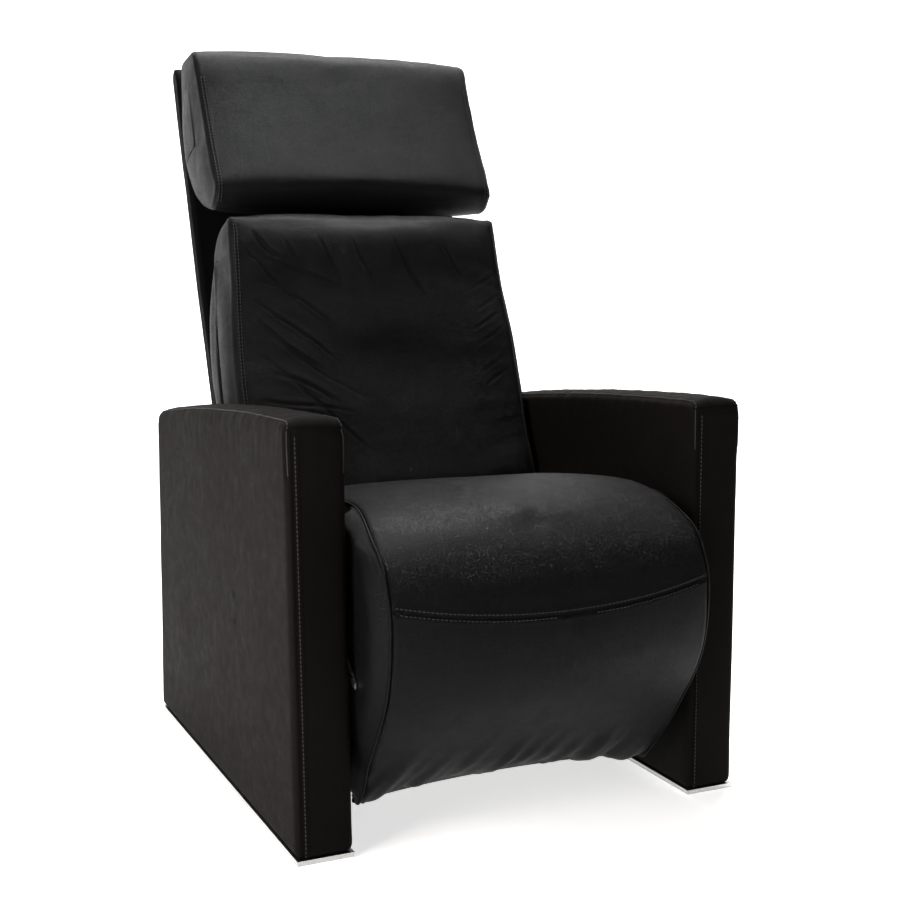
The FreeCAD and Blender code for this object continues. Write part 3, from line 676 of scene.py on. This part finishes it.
# All four are the same black leather. The blue tint of the seat and back leather is painted light:
# it stands in for the cool light on the front faces. The warm tint of the arm leather is painted
# light too: it stands in for the warm light on the arms' outer left sides.
seat_leather = leather("seat_leather", (0.0034, 0.0034, 0.0043), (0.0078, 0.0078, 0.0097), 0.38)
arm_leather = leather(
    "arm_leather", (0.010, 0.0088, 0.0082), (0.022, 0.0190, 0.0172), 0.58, shine=0.07
)
back_leather = leather("back_leather", (0.0038, 0.0038, 0.0050), (0.0088, 0.0088, 0.0112), 0.38)
panel_leather = leather(
    "panel_leather", (0.005, 0.005, 0.0054), (0.011, 0.0108, 0.0112), 0.5, grain=0.8, shine=0.06
)
thread = weave("stitch_thread", (0.04, 0.04, 0.042), (0.095, 0.094, 0.096), 900.0)

FINISH = {
    "black_leather": arm_leather,
    "foam": weave("grey_foam", (0.1, 0.1, 0.1), (0.18, 0.18, 0.17), 300.0),
    "plywood": wood("birch_plywood"),
    "black_steel": metal(
        "powder_coated_steel", (0.012, 0.012, 0.013), (0.03, 0.03, 0.032), 0.45, metallic=0.2
    ),
    "zinc_steel": metal("zinc_plated_steel", (0.42, 0.42, 0.43), (0.62, 0.62, 0.6), 0.32),
    "chrome_rod": metal("chromed_rod", (0.68, 0.68, 0.7), (0.8, 0.8, 0.82), 0.12),
    "brushed_plate": metal(
        "brushed_aluminium", (0.55, 0.55, 0.55), (0.72, 0.72, 0.71), 0.3, stretch=(1, 0.02, 1)
    ),
    "black_plastic": metal(
        "black_cable_sleeve", (0.01, 0.01, 0.01), (0.025, 0.025, 0.025), 0.5, metallic=0.0
    ),
    "webbing": weave("elastic_webbing", (0.02, 0.02, 0.02), (0.07, 0.065, 0.06), 350.0),
}
for part in frame["record"]["subparts"]:
    mesh = frame["nodes"][part["node"]].data
    mesh.materials.clear()
    mesh.materials.append(FINISH[part["material_slot"]])


def dress(piece, finish, body=None, replaced=()):
    """Finish and body of one leather piece; hides the frame parts it replaces."""
    piece.data.materials.clear()
    piece.data.materials.append(finish)
    if body:
        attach(piece, body)
    if replaced:
        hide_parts(*replaced)
    return piece


def by_facing(loop, front, rear, top, bottom):
    """One value per outline point, mixed by which way the outline faces there."""
    out = outward(loop, True)
    weights = np.stack([-out[:, 0], out[:, 0], out[:, 1], -out[:, 1]]).clip(0) ** 2
    values = np.array([front, rear, top, bottom])[:, None]
    return (weights * values).sum(axis=0) / weights.sum(axis=0)


def ease(value):
    """0 to 1, level at both ends."""
    value = np.clip(value, 0, 1)
    return value * value * (3 - 2 * value)


# ---------------------------------------------------------------- arms


ARM_CORNERS = [
    (0.004, 0.0, 0.004, 0),
    (0.999, 0.0, 0.004, 0),
    (0.921, 0.9, 0.016, 0.010),
    (0.004, 0.99, 0.016, 0),
]
ARM_EDGE = 12 * MM
ARM_RIM = 0.293 * ARM_EDGE
ARM_STRIP = 11 * MM


def build_arm(side, way):
    """One box arm: side panels, an arched top and a front strip sewn in on its left edge."""
    node_name = side + "_arm_cover"
    low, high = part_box(node_name)
    middle = (low.x + high.x) / 2
    half = (high.x - low.x) / 2 - ARM_RIM - 1 * MM
    loop = rounded_loop(placed(node_name, ARM_CORNERS), 8 * MM)
    loop = loop - outward(loop, True) * (ARM_RIM - 0.5 * MM)
    crown = by_facing(loop, 2 * MM, 3 * MM, 6 * MM, 0.0)
    columns = columns_between(31, (3 * MM, 6 * MM), half)
    centre_y = (low.y + high.y) / 2
    spine = ((centre_y - 0.12, 0.3), (centre_y + 0.1, 0.28))
    name = side + "_arm_leather"
    arm = band_form(
        name, loop, half, columns, spine, crown, 1.5 * MM, middle, rings=16, edge=ARM_EDGE
    )
    refine(arm)
    top = [p for p in loop if p[1] > 0.86 * high.z and p[0] < high.y - 0.07]
    top.sort(key=lambda p: p[0])
    front = [p for p in loop if p[0] < low.y + 0.014 and p[1] < high.z - 0.02]
    front.sort(key=lambda p: p[1])
    surface = tree_of(arm)

    def on_front(x, points):
        line = [front_of(surface, x, p[1]) for p in points]
        return np.array([tuple(spot) for spot in line if spot is not None])

    left = middle - (high.x - low.x) / 2
    right = middle + (high.x - low.x) / 2
    strip = on_front(left + ARM_STRIP, front)
    rim = on_front(right - 4 * MM, front)
    start, y, z = strip[-1]
    across = np.array([(x, y + 1 * MM, z + 3 * MM) for x in np.linspace(start, rim[-1][0], 20)])
    arches = []
    for s in (-1, 1):
        edge = middle + s * (half + 3 * MM)
        arches.append(np.array([(edge, p[0], p[1] + 3.5 * MM) for p in top]))
    groove(arm, arches + [strip, across], 2.0 * MM, 2.2 * MM)

    def settle(places, away):
        soft = waves(places, 0.16, 3 + way) * 1.0 * MM + waves(places, 0.05, 5 + way) * 0.35 * MM
        near_top = ease((places[:, 2] - 0.50) / 0.09)
        pucker = waves(places, 0.016, 8 + way, (1, 1, 3)) * 1.1 * MM * near_top
        return (soft + pucker) * ease((places[:, 2] - 0.01) / 0.05)

    ripple(arm, settle)
    dress(arm, arm_leather, "base", [node_name, side + "_arm_foam"])
    rows = [strip + np.array([3.5 * MM, 0, 0])]
    rows += [line + np.array([-s * 5 * MM, 0, 2 * MM]) for s, line in zip((-1, 1), arches)]
    threads = stitches(side + "_arm_stitching", arm, rows)
    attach(threads, "base")


for side, way in SIDES:
    build_arm(side, way)


# ---------------------------------------------------------------- seat and leg rest

seat_low, seat_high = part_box("seat_cushion")
foot_low, foot_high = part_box("legrest_cushion")
HINGE = Vector(next(j["pos_m"] for j in frame["joints"] if j["name"] == "legrest_swing"))
SEAT_HALF = 0.2415
FOLD_TOP = HINGE.z + 0.048
FOLD_LOW = HINGE.z - 0.037
GUSSET_REAR = -0.338

front_line = smooth_line(
    placed(
        "seat_cushion",
        [(1.007, 0.625), (0.71, 0.77), (0.343, 0.921), (0.119, 0.678), (0.045, 0.362)],
    )
    + placed(
        "legrest_cushion",
        [(0.072, 0.929), (0.162, 0.632), (0.502, 0.285), (0.85, -0.005), (0.997, 0.0)],
    ),
    6 * MM,
)


def seat_half(line):
    """Half the width between the seat's side seams, at places seen from the side."""
    top = ease((line[:, 0] - seat_low.y - 0.055) / 0.14) * (line[:, 1] > seat_low.z + 0.05)
    bottom = ease((foot_low.z + 0.08 - line[:, 1]) / 0.08)
    return SEAT_HALF - 0.0145 * top - 0.008 * bottom


def arch(line):
    """How far the leg rest's lower edge rises in the middle, at places seen from the side."""
    return 12 * MM * ease((foot_low.z + 0.06 - line[:, 1]) / 0.06)


def build_seat():
    share = np.linspace(0, 1, len(front_line))
    marks = (0, 0.25, 0.45, 0.58, 0.7, 0.88, 1)
    crown = np.interp(share, marks, (0.008, 0.011, 0.015, 0.019, 0.018, 0.006, 0.0))
    crown -= arch(front_line)
    half = seat_half(front_line)
    columns = columns_between(61, half=0.24)
    panel = sheet_form("seat_and_legrest_leather", front_line, half, columns, crown, 2.3)
    held = np.zeros(len(panel.data.vertices)).reshape(len(front_line), len(columns))
    held[:, 0] = held[:, -1] = held[0] = held[-1] = 1
    inflate(panel, held.ravel(), 4.0, 0.007, 0.012)
    refine(panel)
    sides = [np.column_stack([s * half, front_line]) for s in (-1, 1)]
    surface = tree_of(panel)
    fold = []
    for x in np.linspace(-0.236, 0.236, 60):
        z = HINGE.z + 0.007 - 0.025 * (1 - (x / 0.24) ** 2)
        spot = front_of(surface, x, z)
        if spot is not None:
            fold.append(tuple(spot))
    groove(panel, [np.array(fold)], 2.2 * MM, 2.4 * MM)
    groove(panel, sides, 1.4 * MM, 3 * MM)

    def settle(places, away):
        soft = waves(places, 0.11, 11) * 1.6 * MM + waves(places, 0.045, 12) * 0.5 * MM
        low = ease((foot_low.z + 0.11 - places[:, 2]) / 0.08) * (places[:, 1] < foot_high.y - 0.005)
        gather = np.array(
            [noise.noise(Vector((x * 44 - z * 18, 2.0, z * 6))) for x, y, z in places.tolist()]
        )
        return soft + low * gather * 9 * MM

    ripple(panel, settle)
    thicken(panel, 2.5 * MM)
    dress(panel, seat_leather)
    rows = []
    for drop in (-4.5 * MM, 4.5 * MM):
        rows.append([(p[0], p[1], p[2] + drop) for p in fold])
    threads = stitches("fold_seam_stitching", panel, rows)
    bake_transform(threads)
    rows = []
    for s in (-1, 1):
        rows.append([(s * (h - 6 * MM), y, z) for h, (y, z) in zip(half, front_line)][6:-4])
    threads = stitches("seat_side_stitching", panel, rows)
    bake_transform(threads)
    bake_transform(panel)
    for (side, way), line in zip(SIDES, sides):
        piping = tube(side + "_seat_piping", line + np.array([way * 0.4 * MM, 0, 0]), 1.7 * MM)
        dress(piping, seat_leather)
        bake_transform(piping)


def inset_line(line, amount):
    return line - outward(line, False) * amount


def build_seat_pads():
    """The cushions under the panel: one tilts with the seat, one swings with the leg rest."""
    inner = inset_line(front_line, 2.5 * MM)
    above = inner[(inner[:, 1] > FOLD_TOP - 2 * MM)]
    below = inner[(inner[:, 1] < FOLD_LOW) & (inner[:, 0] < foot_high.y + 0.001)]
    rest = [
        (HINGE.y + 0.003, HINGE.z + 0.003),
        (HINGE.y + 0.104, HINGE.z + 0.002),
        (HINGE.y + 0.109, seat_low.z + 0.001),
        (seat_high.y - 0.071, seat_low.z + 0.001),
        (seat_high.y - 0.017, seat_low.z + 0.036),
    ]
    loop = evenly(np.vstack([above, rest]), 8 * MM, True)
    half = seat_half(loop) - 0.5 * MM
    spine = ((HINGE.y + 0.06, seat_low.z + 0.07), (seat_high.y - 0.06, seat_low.z + 0.055))
    crown = 5 * MM * (loop[:, 1] > 0.4)
    columns = columns_between(31, half=0.24)
    pad = band_form("seat_pad", loop, half, columns, spine, crown, 12 * MM)
    refine(pad)
    ripple(pad, lambda places, away: end_wrinkles(places, 21))
    dress(pad, seat_leather, "seat", ["seat_cushion"])
    board_low, board_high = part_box("legrest_board")
    rest = [
        (board_high.y + 0.004, board_low.z - 0.022),
        (board_high.y - 0.005, board_low.z + 0.030),
        (board_high.y - 0.028, board_low.z + 0.023),
        (foot_high.y - 0.079, foot_high.z - 0.024),
        (foot_high.y - 0.094, HINGE.z - 0.004),
        (HINGE.y + 0.014, HINGE.z - 0.001),
        (HINGE.y + 0.003, HINGE.z - 0.003),
    ]
    loop = evenly(np.vstack([below, rest]), 8 * MM, True)
    half = seat_half(loop) - 0.5 * MM
    crown = 3 * MM * (loop[:, 0] < -0.38) - 1.05 * arch(loop)
    spine = ((HINGE.y + 0.045, HINGE.z - 0.055), (foot_high.y - 0.045, foot_low.z + 0.06))
    pad = band_form("legrest_pad", loop, half, columns, spine, crown, 12 * MM)
    refine(pad)
    ripple(pad, lambda places, away: end_wrinkles(places, 22))
    dress(pad, seat_leather, "legrest", ["legrest_cushion"])


def end_wrinkles(places, seed):
    """Soft wrinkles on the ends of the pads only."""
    aside = ease((np.abs(places[:, 0]) - 0.243) / 0.008)
    broad = waves(places, 0.03, seed, (1, 1, 2.2)) * 1.2 * MM
    return aside * (broad + waves(places, 0.012, seed + 1) * 0.5 * MM)


def build_side_gussets():
    """One soft D-shaped panel at each side, sewn to the seat's side seam and tucked in behind."""
    part = front_line[front_line[:, 0] < GUSSET_REAR - 0.008]
    half = seat_half(part)
    for side, way in SIDES:
        places = []
        faces = []
        steps = 19
        for row, ((y, z), wide) in enumerate(zip(part, half)):
            for column in range(steps):
                t = column / (steps - 1)
                depth = GUSSET_REAR - y
                reach = depth * t
                tuck = ease((reach - GUSSET_REAR + y + 0.02) / 0.02) * ease(depth / 0.04)
                rise = math.sin(min(1, reach / 0.04) * math.pi / 2)
                swell = 18 * MM * rise * (1 - tuck) - 3 * MM * tuck
                places.append((way * (wide + swell), y + reach, z))
            if row:
                for column in range(steps - 1):
                    a = (row - 1) * steps + column
                    faces.append((a, a + 1, a + steps + 1, a + steps))
        sheet = tidy_mesh(new_object(side + "_seat_gusset", places, faces))
        refine(sheet)
        ripple(sheet, lambda places, away: waves(places, 0.035, 24 + way, (1, 1, 2)) * 1.2 * MM)
        thicken(sheet, 1.5 * MM)
        dress(sheet, seat_leather)
        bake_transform(sheet)


build_seat()
build_seat_pads()
build_side_gussets()


# ---------------------------------------------------------------- back cushion


SLANT = np.array([[0.87, 0, 0.5], [0, 1, 0], [-0.5, 0, 0.87]])


def facing_along_y(loop, point):
    """How far an outline faces the rear (1) or the front (-1) at one of its points."""
    index = int(np.argmin(np.linalg.norm(loop - point, axis=1)))
    return outward(loop, True)[index][0]


def build_back_cushion():
    low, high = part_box("back_cushion")
    deep = high.y - low.y
    corners = placed(
        "back_cushion",
        [
            (0.02, 0.0, 0.015, 0),
            (0.58, 0.0, 0.02, 0),
            (0.70, 0.34, 0.03, 0),
            (0.855, 0.62, 0.06, 0),
            (0.80, 0.93, 0.05, 0),
            (0.50, 1.005, 0.012, -0.0125),
            (-0.005, 0.035, 0.015, 0),
        ],
    )
    loop = rounded_loop(corners, 6.5 * MM)
    half = 0.2545 - 0.0145 * ease((loop[:, 1] - low.z - 0.17) / 0.29)
    crown = by_facing(loop, 0.020, 0.026, 0.008, 0.003)
    spine = ((low.y + 0.35 * deep, low.z + 0.07), (low.y + 0.68 * deep, high.z - 0.08))
    columns = columns_between(85, half=0.25)
    cushion = band_form(
        "back_cushion_leather", loop, half, columns, spine, crown, 5 * MM, crown_power=2.6
    )
    places = coordinates(cushion)
    seam = np.vstack([np.column_stack([s * half, loop]) for s in (-1, 1)])
    far, _ = nearest_distance(places, seam)
    inflate(cushion, (far < 0.5 * MM).astype(float), 4.0, 0.012, 0.012)
    refine(cushion)
    seams = []
    for s in (-1, 1):
        seams.append(np.column_stack([s * half, loop]))
    groove(cushion, seams, 1.8 * MM, 2.6 * MM)
    surface = tree_of(cushion)
    strokes = []
    rng = np.random.default_rng(4)
    for share in (0.30, 0.38, 0.46, 0.52, 0.60, 0.66, 0.73, 0.79, 0.85, 0.90, 0.95):
        z = low.z + (high.z - low.z) * share
        line = []
        start = rng.uniform(0.0, 0.035)
        reach = rng.uniform(0.05, 0.19)
        fall = rng.uniform(0.1, 0.95)
        for t in np.linspace(0, 1, 14):
            x = -0.236 + start + reach * t
            spot = front_of(surface, x, z - fall * reach * t + 0.007 * math.sin(t * 4 + z * 40))
            if spot is not None:
                line.append(tuple(spot))
        strokes.append((np.array(line), rng.uniform(0.9, 1.7) * MM, rng.uniform(1.7, 3.2) * MM))
    for x in (-0.16, -0.10, -0.045, 0.03, 0.12):
        line = []
        length = rng.uniform(0.05, 0.12)
        for t in np.linspace(0, 1, 12):
            spot = front_of(surface, x + 0.5 * length * t, high.z - 0.03 - length * t)
            if spot is not None:
                line.append(tuple(spot))
        strokes.append((np.array(line), rng.uniform(0.7, 1.2) * MM, 2.2 * MM))
    for share in (0.45, 0.5, 0.6, 0.66, 0.72, 0.8):
        z = low.z + (high.z - low.z) * share
        line = []
        for t in np.linspace(0, 1, 12):
            spot = front_of(surface, 0.235 - 0.07 * t, z - 0.035 * t)
            if spot is not None:
                line.append(tuple(spot))
        strokes.append((np.array(line), 0.9 * MM, 2.4 * MM))
    crease(cushion, strokes)

    def settle(places, away):
        facing = ease((-away[:, 1] - 0.3) / 0.5)
        hollow = np.exp(-(((places[:, 2] - low.z - 0.24) / 0.05) ** 2) - (places[:, 0] / 0.14) ** 2)
        soft = waves(places, 0.12, 31, (1.3, 1, 1)) * 3.8 * MM + waves(places, 0.045, 32) * 0.8 * MM
        slant = waves(places @ SLANT, 0.03, 33, (4, 1, 1)) * 0.9 * MM
        to_left = ease((0.05 - places[:, 0]) / 0.25)
        return facing * (soft + slant * to_left - 5 * MM * hollow) + (1 - facing) * soft * 0.5

    ripple(cushion, settle)
    dress(cushion, back_leather, "back", ["back_cushion"])
    front = [(p, h) for p, h in zip(loop, half) if facing_along_y(loop, p) < -0.75]
    front.sort(key=lambda f: f[0][1])
    rows = []
    for s in (-1, 1):
        for offset in (5 * MM, 10 * MM) if s < 0 else (5 * MM,):
            rows.append([(s * (h - offset), p[0] - 4 * MM, p[1]) for p, h in front])
    threads = stitches("back_cushion_stitching", cushion, rows)
    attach(threads, "back")


build_back_cushion()


# ---------------------------------------------------------------- head rest


def build_headrest():
    low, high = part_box("headrest_cushion")
    corners = placed(
        "headrest_cushion",
        [
            (-0.02, 0.09, 0.012, 0),
            (0.115, -0.055, 0.02, 0),
            (0.60, 0.015, 0.03, 0),
            (0.89, 0.18, 0.04, 0),
            (1.03, 0.42, 0.05, 0),
            (1.01, 0.95, 0.02, 0),
            (0.56, 1.005, 0.018, -0.006),
        ],
    )
    loop = rounded_loop(corners, 8 * MM)
    crown = by_facing(loop, 0.009, 0.006, 0.006, 0.010)
    centre = ((low.y + high.y) / 2 - 0.005, (low.z + high.z) / 2 - 0.03)
    spine = (centre, (centre[0] + 0.03, centre[1] + 0.09))
    columns = columns_between(61, half=0.25)
    half = 0.2505
    cushion = band_form(
        "headrest_leather", loop, half, columns, spine, crown, 3 * MM, crown_power=3.0
    )
    places = coordinates(cushion)
    seams = [np.column_stack([np.full(len(loop), s * half), loop]) for s in (-1, 1)]
    far, _ = nearest_distance(places, np.vstack(seams))
    inflate(cushion, (far < 0.5 * MM).astype(float), 3.0, 0.007, 0.008)
    refine(cushion)
    groove(cushion, seams, 1.8 * MM, 2.4 * MM)

    def settle(places, away):
        soft = waves(places, 0.14, 41, (1.4, 1, 1)) * 1.6 * MM + waves(places, 0.05, 42) * 0.5 * MM
        slant = waves(places @ SLANT, 0.025, 43, (1, 1, 4)) * 0.5 * MM
        return soft + slant

    ripple(cushion, settle)
    dress(cushion, back_leather, "headrest", ["headrest_cushion"])
    front = [p for p in loop if facing_along_y(loop, p) < -0.75 and p[0] < centre[0]]
    front.sort(key=lambda p: p[1])
    rows = []
    for s in (-1, 1):
        for offset in (5 * MM, 10 * MM):
            rows.append([(s * (half - offset), p[0] - 3 * MM, p[1]) for p in front])
    threads = stitches("headrest_stitching", cushion, rows)
    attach(threads, "headrest")


build_headrest()


# ---------------------------------------------------------------- back panel and rear rail


def build_back_panel():
    corners = placed(
        "back_panel_cover",
        [
            (-0.01, 0.0, 0.008, 0),
            (0.117, 0.0, 0.008, 0),
            (1.015, 1.0, 0.012, 0.010),
            (0.892, 1.0, 0.012, -0.004),
        ],
    )
    loop = rounded_loop(corners, 9 * MM)
    low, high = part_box("back_panel_cover")
    crown = by_facing(loop, 1 * MM, 5 * MM, 1 * MM, 0)
    spine = ((low.y + 0.04, low.z + 0.03), (high.y - 0.035, high.z - 0.03))
    half = 0.2485
    columns = columns_between(41, half=0.25)
    panel = band_form("back_panel_leather", loop, half, columns, spine, crown, 2 * MM)
    refine(panel)
    seams = [np.column_stack([np.full(len(loop), s * half), loop]) for s in (-1, 1)]
    groove(panel, seams, 1.4 * MM, 2.4 * MM)

    def settle(places, away):
        soft = waves(places, 0.16, 51) * 1.4 * MM + waves(places, 0.05, 52) * 0.4 * MM
        front = ease((-away[:, 1] - 0.2) / 0.5)
        at_gap = np.exp(-(((places[:, 2] - 0.89) / 0.05) ** 2))
        pleat = waves(places, 0.02, 53, (3, 1, 0.6)) * 1.4 * MM * at_gap
        return soft + front * pleat

    ripple(panel, settle)
    dress(panel, panel_leather, "back", ["back_panel_cover"])
    rear = [p for p in loop if facing_along_y(loop, p) > 0.75]
    rear.sort(key=lambda p: p[1])
    rows = [[(s * (half - 6 * MM), p[0] + 3 * MM, p[1]) for p in rear] for s in (-1, 1)]
    threads = stitches("back_panel_stitching", panel, rows)
    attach(threads, "back")


def build_rear_rail():
    square = ((0.0, 0.0), (1.0, 0.0), (1.0, 1.0), (0.0, 1.0))
    corners = placed("rear_rail_cover", [(y, z, 6 * MM, 0) for y, z in square])
    loop = rounded_loop(corners, 7 * MM)
    low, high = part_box("rear_rail_cover")
    spine = (((low.y + high.y) / 2, low.z + 0.02), ((low.y + high.y) / 2, high.z - 0.02))
    crown = by_facing(loop, 2 * MM, 3 * MM, 2 * MM, 1 * MM)
    columns = columns_between(31, half=0.265)
    rail = band_form("rear_rail_leather", loop, high.x - 0.2 * MM, columns, spine, crown, 0.0)
    refine(rail)

    def settle(places, away):
        return waves(places, 0.09, 61) * 0.8 * MM * (abs(places[:, 0]) < 0.26)

    ripple(rail, settle)
    dress(rail, panel_leather, "base", ["rear_rail_cover"])


build_back_panel()
build_rear_rail()


# ---------------------------------------------------------------- floor, light and camera


def plain(name, colour, rough):
    made, _, shader = material(name)
    shader.inputs["Base Color"].default_value = (*colour, 1)
    shader.inputs["Roughness"].default_value = rough
    return made


def build_stage():
    """Pale floor that curves up to a wall; it glows softly, less well in front of the chair."""
    floor_material = plain("pale_floor", (0.86, 0.86, 0.86), 0.6)
    glow = floor_material.node_tree.nodes["Principled BSDF"]
    glow.inputs["Emission Color"].default_value = (1, 1, 1, 1)
    tree = floor_material.node_tree
    split = node(tree, "ShaderNodeSeparateXYZ")
    tree.links.new(node(tree, "ShaderNodeTexCoord").outputs["Object"], split.inputs[0])
    strength = ranged(tree, split.outputs["Y"], -1.1, -0.75, 0.2, 0.72)
    tree.links.new(strength, glow.inputs["Emission Strength"])
    far = 6.0
    bend = 3.0
    profile = [(-30.0, 0.0), (far, 0.0)]
    for t in np.linspace(0, math.pi / 2, 16)[1:]:
        profile.append((far + bend * math.sin(t), bend * (1 - math.cos(t))))
    profile.append((far + bend, 16.0))
    places = []
    faces = []
    for index, (y, z) in enumerate(profile):
        places += [(-30.0, y, z), (30.0, y, z)]
        if index:
            a = 2 * index
            faces.append((a - 2, a - 1, a + 1, a))
    floor = new_object("floor", places, faces)
    floor.data.shade_smooth()
    floor.data.materials.append(floor_material)
    floor.location.z = -0.0005


def area_light(name, place, target, size, power, colour):
    data = bpy.data.lights.new(name, "AREA")
    data.shape = "RECTANGLE"
    data.size, data.size_y = size
    data.energy = power
    data.color = colour
    lamp = bpy.data.objects.new(name, data)
    lamp.location = place
    lamp.rotation_euler = (Vector(target) - Vector(place)).to_track_quat("-Z", "Y").to_euler()
    bpy.context.scene.collection.objects.link(lamp)


def build_lights():
    area_light("left_softbox", (-2.7, -1.1, 1.4), (0, 0, 0.55), (1.6, 2.2), 85, (1, 0.94, 0.88))
    area_light("top_softbox", (0.6, 0.9, 3.4), (0, 0, 0), (1.6, 1.0), 150, (1, 1, 1))
    area_light("wall_light", (0, 4.5, 4.5), (0, 9.0, 2.0), (9.0, 2.0), 250, (1, 1, 1))
    world = bpy.data.worlds.new("studio")
    bpy.context.scene.world = world
    world.use_nodes = True
    world.node_tree.nodes["Background"].inputs["Color"].default_value = (1, 1, 1, 1)
    world.node_tree.nodes["Background"].inputs["Strength"].default_value = 0.1
    bpy.context.scene.view_settings.view_transform = "Standard"
    bpy.context.scene.view_settings.gamma = 0.76


def build_camera():
    """The camera stands in front of the chair and towards -X, at the height of the back cushion."""
    turn = math.radians(-26.25)
    fall = math.radians(10.156)
    data = bpy.data.cameras.new("camera")
    data.lens = 59.1
    data.sensor_width = 36
    data.shift_x = -0.0852
    data.shift_y = 0.0839
    camera = bpy.data.objects.new("camera", data)
    camera.location = (-0.9005, -2.2412, 0.8014)
    level = math.cos(fall)
    aim = Vector((-math.sin(turn) * level, math.cos(turn) * level, -math.sin(fall)))
    camera.rotation_euler = aim.to_track_quat("-Z", "Y").to_euler()
    bpy.context.scene.collection.objects.link(camera)
    bpy.context.scene.camera = camera


build_stage()
build_lights()
build_camera()
